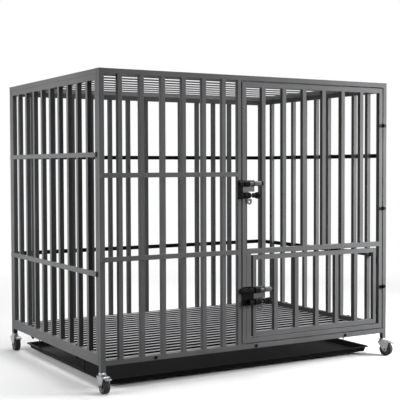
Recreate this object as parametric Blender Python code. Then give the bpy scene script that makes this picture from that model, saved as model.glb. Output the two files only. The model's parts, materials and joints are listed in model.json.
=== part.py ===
"""Dog cage of welded square tube on four braked swivel casters.

Five bolted panels and a floor grate make the box. A big door hangs in the right half of the front,
a small door hangs in the lower part of the big one, and each has a slide bolt with a plunger under it.
A shallow tray hangs under the floor on two wire hangers and slides out to the front.

X runs to the right along the front, Y runs to the back and Z runs up, in metres.
"""

import math

import bmesh
import bpy
from mathutils import Matrix, Vector

# Overall sizes
WIDTH = 1.220
DEPTH = 0.872
PANEL_HEIGHT = 0.974
CASTER_HEIGHT = 0.069
LEG_DROP = 0.019

# Steel sections and how pieces meet
TUBE = 0.018
BAR = 0.016
TUBE_EDGE = 0.0012
STRAP_HEIGHT = 0.016
STRAP_THICKNESS = 0.007
STRAP_EDGE = 0.0008
SHARP = 0.0
WELD_SINK = 0.0008
FIT_GAP = 0.0004

# Bars in each panel, and the clear gap between a row's end bar and its frame
FRONT_BARS = 6
FRONT_END_GAP = 0.0482
SIDE_BARS = 9
SIDE_END_GAP = 0.0588
BACK_BARS = 13
TOP_SLATS = 8
TOP_END_GAP = 0.0851
TOP_SLAT_SHIFT = -0.0095
SLAT_THICKNESS = 0.0045
SLAT_DROP = 0.011
FLOOR_BARS = 17

# Flat straps across the bars, as heights of their lower edges above the bottom rail
FRONT_STRAP_HEIGHTS = (0.3415, 0.617)
SIDE_STRAP_HEIGHTS = (0.2935, 0.6845)
FRONT_STRAP_INSET = 0.003
FRONT_STRAP_LAP = 0.003
SIDE_STRAP_INSET = 0.001

# Front opening and the big door, with heights above the underside of the bottom rail
MID_POST_RIGHT = 0.547
LATCH_SEAM = 0.003
DOOR_GAP = 0.0025
DOOR_BOTTOM_GAP = 0.003
DOOR_TOP_GAP = 0.004
DOOR_MID_RAIL = 0.341
LATCH_TUBE = 0.0205
DOOR_BARS = 6
DOOR_END_GAP = 0.0726
DOOR_BAR_SHIFT = -0.0059

# Small door in the big door's lower opening
SMALL_LATCH_GAP = 0.0065
SMALL_HINGE_GAP = 0.0125
SMALL_BOTTOM_GAP = 0.004
SMALL_TOP_GAP = 0.006
SMALL_BARS = 5

# Big door hinges, with heights above the bottom rail
HINGE_HEIGHTS = {"low": 0.183, "middle": 0.488, "high": 0.808}
KNUCKLE_RADIUS = 0.005
KNUCKLE_LENGTH = 0.006
HINGE_PIN_RADIUS = 0.002
PIN_SHOW = 0.001
LEAF_THICKNESS = 0.002
LEAF_HEIGHT = 0.011
LEAF_WIDTH = 0.0145
RIVET_RADIUS = 0.0028
RIVET_INSET = 0.0042
RIVET_RISE = 0.0016

# Small door hinges: barrels standing in the gap beside the door
SMALL_HINGE_HEIGHTS = (0.075, 0.275)
BARREL_RADIUS = 0.0048
BARREL_LENGTH = 0.018
BARREL_SET_BACK = 0.0035

# Slide bolt latches, measured from the door's free edge and from the bolt's own height
UPPER_BOLT_HEIGHT = 0.592
LOWER_BOLT_HEIGHT = 0.212
PLUNGER_DROP = 0.042
LATCH_PLATE_THICKNESS = 0.003
LATCH_PLATE_START = 0.001
LATCH_PLATE_END = 0.050
LATCH_PLATE_RISE = 0.012
LATCH_PLATE_BELOW = 0.013
TAB_START = 0.019
TAB_WIDTH = 0.020
TAB_DROP = 0.020
TAB_HOLE_RADIUS = 0.004
GUIDE_RADIUS = 0.011
BOLT_GUIDE_OVERHANG = 0.001
BOLT_GUIDE_END = 0.020
GUIDE_SINK = 0.0015
PLUNGER_GUIDE_END = 0.012
COLLAR_START = 0.0155
COLLAR_END = 0.0235
BOLT_RADIUS = 0.006
BOLT_CLEARANCE = 0.0005
GRIP_START = 0.040
GRIP_LENGTH = 0.040
GRIP_RADIUS = 0.009
PLUNGER_RADIUS = 0.004
KNOB_START = 0.036
KNOB_LENGTH = 0.035
KNOB_RADIUS = 0.012
KNOB_NOTCH = 0.001
KEEPER_RADIUS = 0.0095
KEEPER_LENGTH = 0.018
KEEPER_OVERHANG = 0.015
KEEPER_WALL = 0.002
KEEPER_NOSE = 0.008
KEEPER_NOSE_RADIUS = 0.004
KEEPER_FOOT = 0.006

# Bolts that hold the panels together
PANEL_BOLT_RADIUS = 0.003
PANEL_BOLT_CLEARANCE = 0.0005
BOLT_HEAD_RADIUS = 0.006
BOLT_HEAD_HEIGHT = 0.0035
BOLT_TAIL = 0.003
NUT_RADIUS = 0.0060
NUT_HEIGHT = 0.005
RAIL_BOLTS = 3
SIDE_BOLT_SHARES = (0.25, 0.75)
TOP_BOLT_SHARE = 0.45
TOP_BOLT_REACH = 0.012

# Tray under the floor
TRAY_SIDE_INSET = 0.0405
TRAY_FRONT_INSET = 0.043
TRAY_TOP = 0.0313
TRAY_DEPTH = 0.020
TRAY_RIM = 0.0095
TRAY_FLARE = 0.0075
TRAY_WALL = 0.0020
TRAY_CORNER_RADIUS = 0.022
TRAY_CORNER_STEPS = 4

# Wire hangers that carry the tray's rim
HANGER_WIRE_RADIUS = 0.002
HANGER_EYE_RADIUS = 0.0088
HANGER_EYE_LAP = 0.007
HANGER_EYE_THICKNESS = 0.003
HANGER_STAND_OFF = 0.0045
HANGER_BEND = 0.030

# Casters; the wheel fills what CASTER_HEIGHT leaves under the crown, the races and the collar
WHEEL_WIDTH = 0.022
WHEEL_SHOULDER = 0.0022
WHEEL_SEGMENTS = 16
HUB_RADIUS = 0.008
HUB_WIDTH = 0.024
AXLE_RADIUS = 0.003
AXLE_HEAD_RADIUS = 0.0055
AXLE_HEAD_HEIGHT = 0.0025
RUNNING_GAP = 0.0004
CASTER_TRAIL = 0.015
FORK_SHEET = 0.002
CROWN_CLEARANCE = 0.0045
CROWN_BACK = 0.014
CROWN_FRONT = 0.012
CHEEK_FRONT = 0.0305
CHEEK_BOSS_RADIUS = 0.008
CHEEK_BRACE_DROP = 0.007
RACE_RADIUS = 0.0135
RACE_SEGMENTS = 10
RACE_CUP_HEIGHT = 0.0045
RACE_DISC_HEIGHT = 0.003
STUD_RADIUS = 0.004
STUD_LENGTH = 0.025
STUD_COLLAR_RADIUS = 0.008
STUD_COLLAR_HEIGHT = 0.0042
RIVET_HEAD_RADIUS = 0.0055
RIVET_HEAD_HEIGHT = 0.0028
PEDAL_PIVOT_AHEAD = 0.026
PEDAL_PIVOT_DROP = 0.0035
PEDAL_EYE_RADIUS = 0.0036
PEDAL_PIN_RADIUS = 0.0016
PEDAL_WIDTH = 0.021
PEDAL_REACH = 0.024
PEDAL_TIP_DROP = 0.003
PEDAL_SHEET = 0.002
PEDAL_LIP = 0.004
CASTER_TURNS = {
    "front_left": -90.0,
    "front_right": -68.0,
    "rear_left": -90.0,
    "rear_right": -90.0,
}

# Places worked out from the sizes above
BASE = CASTER_HEIGHT + LEG_DROP
TOP = BASE + PANEL_HEIGHT
MID_POST_LEFT = MID_POST_RIGHT - BAR
DOOR_LEFT = MID_POST_RIGHT + LATCH_SEAM
DOOR_RIGHT = WIDTH - TUBE - DOOR_GAP
DOOR_BOTTOM = BASE + TUBE + DOOR_BOTTOM_GAP
DOOR_TOP = TOP - TUBE - DOOR_TOP_GAP
MID_RAIL_BOTTOM = BASE + DOOR_MID_RAIL
LATCH_TUBE_RIGHT = DOOR_LEFT + TUBE + LATCH_TUBE
SMALL_LEFT = LATCH_TUBE_RIGHT + SMALL_LATCH_GAP
SMALL_RIGHT = DOOR_RIGHT - TUBE - SMALL_HINGE_GAP
SMALL_BOTTOM = DOOR_BOTTOM + TUBE + SMALL_BOTTOM_GAP
SMALL_TOP = MID_RAIL_BOTTOM - SMALL_TOP_GAP
HINGE_X = DOOR_RIGHT + DOOR_GAP / 2
HINGE_Y = -(KNUCKLE_RADIUS + FIT_GAP)
SMALL_HINGE_X = SMALL_RIGHT + SMALL_HINGE_GAP / 2
SMALL_HINGE_Y = BARREL_SET_BACK
LATCH_STANDOFF = FIT_GAP + LATCH_PLATE_THICKNESS + GUIDE_RADIUS - GUIDE_SINK
KEEPER_FOOT_FRONT = -LATCH_STANDOFF + KEEPER_RADIUS - KEEPER_WALL
SIDE_FRONT = TUBE + FIT_GAP
SIDE_BACK = DEPTH - TUBE - FIT_GAP
GRATE_FRONT = SIDE_FRONT + TUBE
GRATE_BACK = SIDE_BACK - TUBE
LEG_MIDDLE = TUBE / 2
FORK_INSIDE = HUB_WIDTH / 2 + RUNNING_GAP
FORK_OUTSIDE = FORK_INSIDE + FORK_SHEET
COLLAR_TOP = CASTER_HEIGHT - FIT_GAP
RACE_TOP = COLLAR_TOP - STUD_COLLAR_HEIGHT
RACE_BOTTOM = RACE_TOP - RACE_DISC_HEIGHT
CROWN_TOP = RACE_BOTTOM - RUNNING_GAP - RACE_CUP_HEIGHT
CROWN_BOTTOM = CROWN_TOP - FORK_SHEET
WHEEL_RADIUS = (CROWN_BOTTOM - CROWN_CLEARANCE) / 2
PEDAL_PIVOT_HEIGHT = CROWN_TOP - PEDAL_PIVOT_DROP
TRAY_LEFT = TRAY_SIDE_INSET
TRAY_RIGHT = WIDTH - TRAY_SIDE_INSET
TRAY_FRONT = TRAY_FRONT_INSET
TRAY_BACK = DEPTH - TRAY_FRONT_INSET
X_AXIS, Y_AXIS, Z_AXIS = range(3)


# Shapes


def spaced(low, high, count, size, end_gap=None, shift=0.0):
    """Lower edges of count bars between two frame edges, with a chosen or an even end gap."""
    if end_gap is None:
        end_gap = (high - low - count * size) / (count + 1)
    pitch = (high - low - 2 * end_gap - size) / (count - 1)
    return [low + end_gap + shift + pitch * i for i in range(count)]


def add_tube(bm, low, high, axis, edge=TUBE_EDGE):
    """Adds a square tube along one axis, with its long edges broken."""
    across, up = [i for i in range(3) if i != axis]
    outline = (
        (low[across] + edge, low[up]),
        (high[across] - edge, low[up]),
        (high[across], low[up] + edge),
        (high[across], high[up] - edge),
        (high[across] - edge, high[up]),
        (low[across] + edge, high[up]),
        (low[across], high[up] - edge),
        (low[across], low[up] + edge),
    )
    if edge == SHARP:
        outline = outline[::2]
    rings = []
    for level in (low[axis], high[axis]):
        ring = []
        for u, v in outline:
            place = [0.0, 0.0, 0.0]
            place[across] = u
            place[up] = v
            place[axis] = level
            ring.append(bm.verts.new(place))
        rings.append(ring)
    bm.faces.new(rings[0])
    bm.faces.new(rings[1])
    for i in range(len(outline)):
        bm.faces.new((rings[0][i - 1], rings[0][i], rings[1][i], rings[1][i - 1]))


def add_turned(bm, profile, segments, matrix, bored=False, phase=0.0):
    """Turns (radius, height) points about the matrix's Z axis; a bored profile closes on itself."""
    rings = []
    for radius, height in profile:
        if radius == 0.0:
            rings.append([bm.verts.new(matrix @ Vector((0.0, 0.0, height)))])
            continue
        ring = []
        for i in range(segments):
            angle = 2 * math.pi * i / segments + phase
            point = Vector((radius * math.cos(angle), radius * math.sin(angle), height))
            ring.append(bm.verts.new(matrix @ point))
        rings.append(ring)
    pairs = list(zip(rings, rings[1:]))
    if bored:
        pairs.append((rings[-1], rings[0]))
    for lower, upper in pairs:
        for i in range(segments):
            j = (i + 1) % segments
            corners = [lower[i % len(lower)], lower[j % len(lower)]]
            corners += [upper[j % len(upper)], upper[i % len(upper)]]
            unique = list(dict.fromkeys(corners))
            bm.faces.new(unique)


def add_plate(bm, outline, thickness, matrix):
    """Extrudes a flat outline along the matrix's Z axis."""
    rings = []
    for height in (0.0, thickness):
        rings.append([bm.verts.new(matrix @ Vector((u, v, height))) for u, v in outline])
    bm.faces.new(rings[0])
    bm.faces.new(rings[1])
    for i in range(len(outline)):
        bm.faces.new((rings[0][i - 1], rings[0][i], rings[1][i], rings[1][i - 1]))


def add_rod(bm, radius, start, end, segments=10):
    """Adds a plain round rod from one point to another."""
    length = (Vector(end) - Vector(start)).length
    profile = [(0.0, 0.0), (radius, 0.0), (radius, length), (0.0, length)]
    add_turned(bm, profile, segments, pointing(start, Vector(end) - Vector(start)))


def pointing(place, direction):
    """Matrix whose Z axis points along a direction from a place."""
    turn = Vector(direction).to_track_quat("Z", "Y").to_matrix().to_4x4()
    return Matrix.Translation(place) @ turn


def arc(centre, radius, start, end, steps):
    """Points along a circular arc, in degrees, ends included."""
    points = []
    for i in range(steps + 1):
        angle = math.radians(start + (end - start) * i / steps)
        u = centre[0] + radius * math.cos(angle)
        v = centre[1] + radius * math.sin(angle)
        points.append((u, v))
    return points


# Objects


def finish(name, bm, material, parent=None, offset=(0.0, 0.0, 0.0), smooth=False):
    """Makes the named object from a mesh, hangs it on its parent and gives it its own material."""
    bmesh.ops.recalc_face_normals(bm, faces=bm.faces)
    mesh = bpy.data.meshes.new(name)
    bm.to_mesh(mesh)
    bm.free()
    obj = bpy.data.objects.new(name, mesh)
    bpy.context.scene.collection.objects.link(obj)
    if smooth:
        mesh.shade_smooth()
        mesh.set_sharp_from_angle(angle=math.radians(35.0))
    if material is not None:
        mesh.materials.append(painted(name, *material))
    obj.parent = parent
    obj.location = offset
    return obj


def painted(name, colour, roughness, metallic):
    """A plain surface of one colour for one piece."""
    material = bpy.data.materials.new(name)
    material.use_nodes = True
    shader = material.node_tree.nodes["Principled BSDF"]
    shader.inputs["Base Color"].default_value = (*colour, 1.0)
    shader.inputs["Roughness"].default_value = roughness
    shader.inputs["Metallic"].default_value = metallic
    material.diffuse_color = (*colour, 1.0)
    return material


def combine(obj, bm, operation):
    """Joins a mesh to an object, or cuts it away, and keeps one clean closed mesh."""
    other = finish("tool", bm, None, obj.parent, obj.location)
    change = obj.modifiers.new("change", "BOOLEAN")
    change.operation = operation
    change.solver = "EXACT"
    change.object = other
    bpy.context.view_layer.update()
    depsgraph = bpy.context.evaluated_depsgraph_get()
    result = bpy.data.meshes.new_from_object(obj.evaluated_get(depsgraph))
    obj.modifiers.remove(change)
    old_mesh = obj.data
    name = old_mesh.name
    obj.data = result
    bpy.data.meshes.remove(old_mesh)
    result.name = name
    tool_mesh = other.data
    bpy.data.objects.remove(other)
    bpy.data.meshes.remove(tool_mesh)
    cleaned = bmesh.new()
    cleaned.from_mesh(result)
    bmesh.ops.remove_doubles(cleaned, verts=cleaned.verts, dist=1e-6)
    bmesh.ops.dissolve_limit(
        cleaned, angle_limit=math.radians(0.05), verts=cleaned.verts, edges=cleaned.edges
    )
    cleaned.to_mesh(result)
    cleaned.free()
    return obj


def welded(name, material, parent, layers, offset=(0.0, 0.0, 0.0)):
    """One welded piece from layers of tubes; tubes within a layer don't meet each other."""
    obj = None
    for layer in layers:
        bm = bmesh.new()
        for low, high, axis, edge in layer:
            add_tube(bm, low, high, axis, edge)
        if obj is None:
            obj = finish(name, bm, material, parent, offset)
        else:
            combine(obj, bm, "UNION")
    return obj


def bore(obj, radius, start, end, segments=8):
    """Drills a round hole from one point to another."""
    bm = bmesh.new()
    add_rod(bm, radius, start, end, segments)
    return combine(obj, bm, "DIFFERENCE")


def pivot(name, place, parent, turn=0.0):
    """An empty on a joint's axis, placed in its parent's own coordinates."""
    empty = bpy.data.objects.new(name, None)
    bpy.context.scene.collection.objects.link(empty)
    empty.empty_display_size = 0.03
    empty.parent = parent
    empty.location = place
    empty.rotation_euler = (0.0, 0.0, math.radians(turn))
    return empty


def back_to_cage(place):
    """Offset that puts a piece modelled in cage coordinates under a pivot at a place."""
    return tuple(-value for value in place)


# Finishes: colour, roughness, metallic
FRAME_PAINT = ((0.085, 0.086, 0.090), 0.48, 0.35)
DOOR_PAINT = ((0.100, 0.101, 0.105), 0.46, 0.35)
BLACK_PAINT = ((0.012, 0.012, 0.013), 0.38, 0.2)
ZINC = ((0.62, 0.63, 0.65), 0.32, 1.0)
BRIGHT_STEEL = ((0.55, 0.55, 0.56), 0.22, 1.0)
BLACK_RUBBER = ((0.016, 0.016, 0.017), 0.7, 0.0)
BLACK_PLASTIC = ((0.010, 0.010, 0.011), 0.35, 0.0)


# Panels


def upright(x, y, bottom, top, size, edge=TUBE_EDGE):
    """A vertical tube from its lower left front corner."""
    return ((x, y, bottom), (x + size, y + size, top), Z_AXIS, edge)


def along_x(left, right, y, z, size, edge=TUBE_EDGE):
    """A tube across the cage from its lower left front corner."""
    return ((left, y, z), (right, y + size, z + size), X_AXIS, edge)


def along_y(x, front, back, z, size, edge=TUBE_EDGE):
    """A tube from front to back from its lower left front corner."""
    return ((x, front, z), (x + size, back, z + size), Y_AXIS, edge)


def rail_bolt_places():
    """Places along the width of the bolts through the bottom rails."""
    return [WIDTH * (2 * i + 1) / (2 * RAIL_BOLTS) for i in range(RAIL_BOLTS)]


def side_bolt_places():
    """Places along the depth of the bolts through the side rails."""
    return [DEPTH * share for share in SIDE_BOLT_SHARES]


def leg_bore(obj, x, y):
    """Drills the hole in a leg's foot that takes a caster's stud."""
    radius = STUD_RADIUS + RUNNING_GAP
    depth = STUD_LENGTH + RUNNING_GAP
    start = (x, y, CASTER_HEIGHT - depth / 2)
    return bore(obj, radius, start, (x, y, CASTER_HEIGHT + depth), RACE_SEGMENTS)


def end_panel_bores(obj, y_low, y_high):
    """Drills the bottom rail of the front or back for its bolts."""
    radius = PANEL_BOLT_RADIUS + PANEL_BOLT_CLEARANCE
    height = BASE + TUBE / 2
    for x in rail_bolt_places():
        bore(obj, radius, (x, y_low, height), (x, y_high, height))


def front_panel(root):
    """Posts with legs, rails, the post beside the door and the fixed grille with its straps."""
    inside = TUBE / 2
    posts = [
        upright(0.0, 0.0, CASTER_HEIGHT, TOP, TUBE),
        upright(WIDTH - TUBE, 0.0, CASTER_HEIGHT, TOP, TUBE),
    ]
    rails = [
        along_x(inside, WIDTH - inside, 0.0, BASE, TUBE),
        along_x(inside, WIDTH - inside, 0.0, TOP - TUBE, TUBE),
    ]
    bars = [upright(MID_POST_LEFT, 0.0, BASE + inside, TOP - inside, BAR)]
    for x in spaced(TUBE, MID_POST_LEFT, FRONT_BARS, BAR, FRONT_END_GAP):
        bars.append(upright(x, 0.0, BASE + inside, TOP - inside, BAR, SHARP))
    straps = []
    for height in FRONT_STRAP_HEIGHTS:
        corner = (FRONT_STRAP_INSET, -STRAP_THICKNESS, BASE + height)
        right = MID_POST_LEFT + FRONT_STRAP_LAP
        far = (right, WELD_SINK, BASE + height + STRAP_HEIGHT)
        straps.append((corner, far, X_AXIS, SHARP))
    obj = welded("front_panel", FRAME_PAINT, root, (posts, rails, bars, straps))
    leg_bore(obj, LEG_MIDDLE, LEG_MIDDLE)
    leg_bore(obj, WIDTH - LEG_MIDDLE, LEG_MIDDLE)
    end_panel_bores(obj, -TUBE, 2 * TUBE)
    return obj


def back_panel(root):
    """Posts with legs, rails, even bars and two flat straps on the outside."""
    inside = TUBE / 2
    y = DEPTH - TUBE
    high = TOP - TUBE - FIT_GAP
    posts = [
        upright(0.0, y, CASTER_HEIGHT, high, TUBE),
        upright(WIDTH - TUBE, y, CASTER_HEIGHT, high, TUBE),
    ]
    rails = [
        along_x(inside, WIDTH - inside, y, BASE, TUBE, SHARP),
        along_x(inside, WIDTH - inside, y, high - TUBE, TUBE, SHARP),
    ]
    bars = []
    for x in spaced(TUBE, WIDTH - TUBE, BACK_BARS, BAR):
        bars.append(upright(x, DEPTH - BAR, BASE + inside, high - inside, BAR, SHARP))
    straps = []
    for height in SIDE_STRAP_HEIGHTS:
        corner = (FRONT_STRAP_INSET, DEPTH - WELD_SINK, BASE + height)
        far = (WIDTH - FRONT_STRAP_INSET, DEPTH + STRAP_THICKNESS, BASE + height + STRAP_HEIGHT)
        straps.append((corner, far, X_AXIS, SHARP))
    obj = welded("back_panel", FRAME_PAINT, root, (posts, rails, bars, straps))
    leg_bore(obj, LEG_MIDDLE, DEPTH - LEG_MIDDLE)
    leg_bore(obj, WIDTH - LEG_MIDDLE, DEPTH - LEG_MIDDLE)
    end_panel_bores(obj, DEPTH - 2 * TUBE, DEPTH + TUBE)
    return obj


def side_panel(name, root, outer, inward):
    """Stiles, rails, bars and outside straps between the front and back panels."""

    def span(depth_out, depth_in):
        edges = (outer + inward * depth_out, outer + inward * depth_in)
        return min(edges), max(edges)

    low = BASE + TUBE + FIT_GAP
    high = TOP - TUBE - FIT_GAP
    left, right = span(0.0, TUBE)
    stiles = [
        ((left, SIDE_FRONT, low), (right, GRATE_FRONT, high), Z_AXIS, TUBE_EDGE),
        ((left, GRATE_BACK, low), (right, SIDE_BACK, high), Z_AXIS, TUBE_EDGE),
    ]
    inside = TUBE / 2
    rails = [
        along_y(left, SIDE_FRONT + inside, SIDE_BACK - inside, low, TUBE, SHARP),
        along_y(left, SIDE_FRONT + inside, SIDE_BACK - inside, high - TUBE, TUBE, SHARP),
    ]
    bar_left, bar_right = span(0.0, BAR)
    bars = []
    for y in spaced(GRATE_FRONT, GRATE_BACK, SIDE_BARS, BAR, SIDE_END_GAP):
        corner = (bar_left, y, low + inside)
        bars.append((corner, (bar_right, y + BAR, high - inside), Z_AXIS, SHARP))
    strap_left, strap_right = span(-STRAP_THICKNESS, WELD_SINK)
    straps = []
    for height in SIDE_STRAP_HEIGHTS:
        corner = (strap_left, SIDE_FRONT + SIDE_STRAP_INSET, BASE + height)
        far = (strap_right, SIDE_BACK - SIDE_STRAP_INSET, BASE + height + STRAP_HEIGHT)
        straps.append((corner, far, Y_AXIS, SHARP))
    obj = welded(name, FRAME_PAINT, root, (stiles, rails, bars, straps))
    radius = PANEL_BOLT_RADIUS + PANEL_BOLT_CLEARANCE
    x = outer + inward * TUBE / 2
    for y in side_bolt_places():
        bore(obj, radius, (x, y, low - inside), (x, y, low + TUBE + inside))
    y = DEPTH * TOP_BOLT_SHARE
    return bore(obj, radius, (x, y, high - TUBE - inside), (x, y, high + inside))


def top_panel(root):
    """Top frame with flat slats, over the side panels and the back panel."""
    inside = TUBE / 2
    bottom = TOP - TUBE
    across = [
        along_x(0.0, WIDTH, SIDE_FRONT, bottom, TUBE),
        along_x(0.0, WIDTH, DEPTH - TUBE, bottom, TUBE),
    ]
    ends = [
        along_y(0.0, SIDE_FRONT + inside, DEPTH - inside, bottom, TUBE),
        along_y(WIDTH - TUBE, SIDE_FRONT + inside, DEPTH - inside, bottom, TUBE),
    ]
    slats = []
    back = DEPTH - TUBE
    low = TOP - SLAT_DROP - SLAT_THICKNESS / 2
    for y in spaced(GRATE_FRONT, back, TOP_SLATS, BAR, TOP_END_GAP, TOP_SLAT_SHIFT):
        far = (WIDTH - inside, y + BAR, low + SLAT_THICKNESS)
        slats.append(((inside, y, low), far, X_AXIS, SHARP))
    obj = welded("top_panel", FRAME_PAINT, root, (across, ends, slats))
    radius = PANEL_BOLT_RADIUS + PANEL_BOLT_CLEARANCE
    y = DEPTH * TOP_BOLT_SHARE
    for x in (LEG_MIDDLE, WIDTH - LEG_MIDDLE):
        bore(obj, radius, (x, y, bottom - inside), (x, y, bottom + TOP_BOLT_REACH + RUNNING_GAP))
    return obj


def floor_grate(root):
    """Floor that the animal stands on, with close bars flush with its frame."""
    inside = TUBE / 2
    across = [
        along_x(0.0, WIDTH, SIDE_FRONT, BASE, TUBE),
        along_x(0.0, WIDTH, GRATE_BACK, BASE, TUBE),
    ]
    ends = [
        along_y(0.0, SIDE_FRONT + inside, SIDE_BACK - inside, BASE, TUBE, SHARP),
        along_y(WIDTH - TUBE, SIDE_FRONT + inside, SIDE_BACK - inside, BASE, TUBE, SHARP),
    ]
    bars = []
    low = BASE + TUBE - BAR
    for y in spaced(GRATE_FRONT, GRATE_BACK, FLOOR_BARS, BAR):
        bars.append(((inside, y, low), (WIDTH - inside, y + BAR, low + BAR), X_AXIS, SHARP))
    obj = welded("floor_grate", FRAME_PAINT, root, (across, ends, bars))
    radius = PANEL_BOLT_RADIUS + PANEL_BOLT_CLEARANCE
    for x in (LEG_MIDDLE, WIDTH - LEG_MIDDLE):
        for y in side_bolt_places():
            bore(obj, radius, (x, y, BASE - inside), (x, y, BASE + TUBE + inside))
    height = BASE + TUBE / 2
    for x in rail_bolt_places():
        bore(obj, radius, (x, 0.0, height), (x, GRATE_FRONT + inside, height))
        bore(obj, radius, (x, GRATE_BACK - inside, height), (x, DEPTH, height))
    return obj


# Panel bolts


def bolt_runs():
    """Each through bolt's name, its head's place, its direction and the thickness that it clamps."""
    runs = []
    height = BASE + TUBE / 2
    clamp = 2 * TUBE + FIT_GAP
    for i, x in enumerate(rail_bolt_places()):
        number = str(i + 1)
        runs.append(("bolt_front_" + number, (x, 0.0, height), (0.0, 1.0, 0.0), clamp))
        runs.append(("bolt_back_" + number, (x, DEPTH, height), (0.0, -1.0, 0.0), clamp))
    down = (0.0, 0.0, -1.0)
    low_clamp = clamp + FIT_GAP + HANGER_EYE_THICKNESS
    for side, x in (("left", LEG_MIDDLE), ("right", WIDTH - LEG_MIDDLE)):
        for end, y in zip(("front", "rear"), side_bolt_places()):
            runs.append(("bolt_" + side + "_" + end, (x, y, BASE + clamp), down, low_clamp))
    return runs


def headed_bolt(name, root, stand, end):
    """A round-headed bolt along the matrix's Z axis, from its head's seat to its end."""
    profile = (
        (0.0, -BOLT_HEAD_HEIGHT - FIT_GAP),
        (0.6 * BOLT_HEAD_RADIUS, -BOLT_HEAD_HEIGHT - FIT_GAP),
        (BOLT_HEAD_RADIUS, -FIT_GAP),
        (PANEL_BOLT_RADIUS, -FIT_GAP),
        (PANEL_BOLT_RADIUS, end),
        (0.0, end),
    )
    bm = bmesh.new()
    add_turned(bm, profile, 8, stand)
    return finish(name, bm, BLACK_PAINT, root)


def panel_bolts(root):
    """Bolts through pairs of tubes with their nuts, and the roof's bolts, up into its end tubes."""
    for name, place, direction, clamp in bolt_runs():
        stand = pointing(place, direction)
        obj = headed_bolt(name, root, stand, clamp + FIT_GAP + NUT_HEIGHT + BOLT_TAIL)
        nut = bmesh.new()
        start = clamp + FIT_GAP
        block = ((0.0, start), (NUT_RADIUS, start), (NUT_RADIUS, start + NUT_HEIGHT))
        add_turned(nut, block + ((0.0, start + NUT_HEIGHT),), 6, stand)
        combine(obj, nut, "UNION")
    seat = TOP - 2 * TUBE - FIT_GAP
    for side, x in (("left", LEG_MIDDLE), ("right", WIDTH - LEG_MIDDLE)):
        stand = pointing((x, DEPTH * TOP_BOLT_SHARE, seat), (0.0, 0.0, 1.0))
        headed_bolt("bolt_top_" + side, root, stand, TUBE + FIT_GAP + TOP_BOLT_REACH)


# Doors


def hinge_barrel(obj, bottom, carrier_x, pinned):
    """Welds a small door's hinge barrel and its web to the tube that carries it."""
    top = bottom + BARREL_LENGTH
    web = bmesh.new()
    ends = sorted((SMALL_HINGE_X, carrier_x))
    add_tube(
        web,
        (ends[0], SMALL_HINGE_Y - BARREL_RADIUS / 2, bottom),
        (ends[1], SMALL_HINGE_Y + BARREL_RADIUS / 2, top),
        Z_AXIS,
        STRAP_EDGE / 2,
    )
    combine(obj, web, "UNION")
    barrel_mesh = bmesh.new()
    start = (SMALL_HINGE_X, SMALL_HINGE_Y, bottom)
    add_rod(barrel_mesh, BARREL_RADIUS, start, (SMALL_HINGE_X, SMALL_HINGE_Y, top))
    combine(obj, barrel_mesh, "UNION")
    if pinned:
        pin = bmesh.new()
        end = (SMALL_HINGE_X, SMALL_HINGE_Y, top + RUNNING_GAP + BARREL_LENGTH + PIN_SHOW)
        add_rod(pin, HINGE_PIN_RADIUS, (SMALL_HINGE_X, SMALL_HINGE_Y, top - PIN_SHOW), end, 8)
        return combine(obj, pin, "UNION")
    above = (SMALL_HINGE_X, SMALL_HINGE_Y, top + BARREL_RADIUS)
    below = (SMALL_HINGE_X, SMALL_HINGE_Y, bottom - BARREL_RADIUS)
    return bore(obj, HINGE_PIN_RADIUS + RUNNING_GAP, below, above)


def big_door(hinge, offset):
    """Stiles, three rails, upper bars, the doubled stile at the latch and the hinge barrels."""
    inside = TUBE / 2
    stiles = [
        upright(DOOR_LEFT, 0.0, DOOR_BOTTOM, DOOR_TOP, TUBE),
        upright(DOOR_RIGHT - TUBE, 0.0, DOOR_BOTTOM, DOOR_TOP, TUBE),
    ]
    left = DOOR_LEFT + inside
    right = DOOR_RIGHT - inside
    rails = [
        along_x(left, right, 0.0, DOOR_BOTTOM, TUBE),
        along_x(left, right, 0.0, MID_RAIL_BOTTOM, TUBE),
        along_x(left, right, 0.0, DOOR_TOP - TUBE, TUBE),
    ]
    low = (DOOR_LEFT + TUBE - WELD_SINK, 0.0, DOOR_BOTTOM + inside)
    high = (LATCH_TUBE_RIGHT, TUBE, MID_RAIL_BOTTOM + inside)
    bars = [(low, high, Z_AXIS, TUBE_EDGE)]
    low_end = MID_RAIL_BOTTOM + inside
    high_end = DOOR_TOP - inside
    left = DOOR_LEFT + TUBE
    right = DOOR_RIGHT - TUBE
    for x in spaced(left, right, DOOR_BARS, BAR, DOOR_END_GAP, DOOR_BAR_SHIFT):
        bars.append(upright(x, 0.0, low_end, high_end, BAR, SHARP))
    obj = welded("big_door", DOOR_PAINT, hinge, (stiles, rails, bars), offset)
    for height in SMALL_HINGE_HEIGHTS:
        hinge_barrel(obj, BASE + height, DOOR_RIGHT - TUBE + WELD_SINK, True)
    return obj


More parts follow.
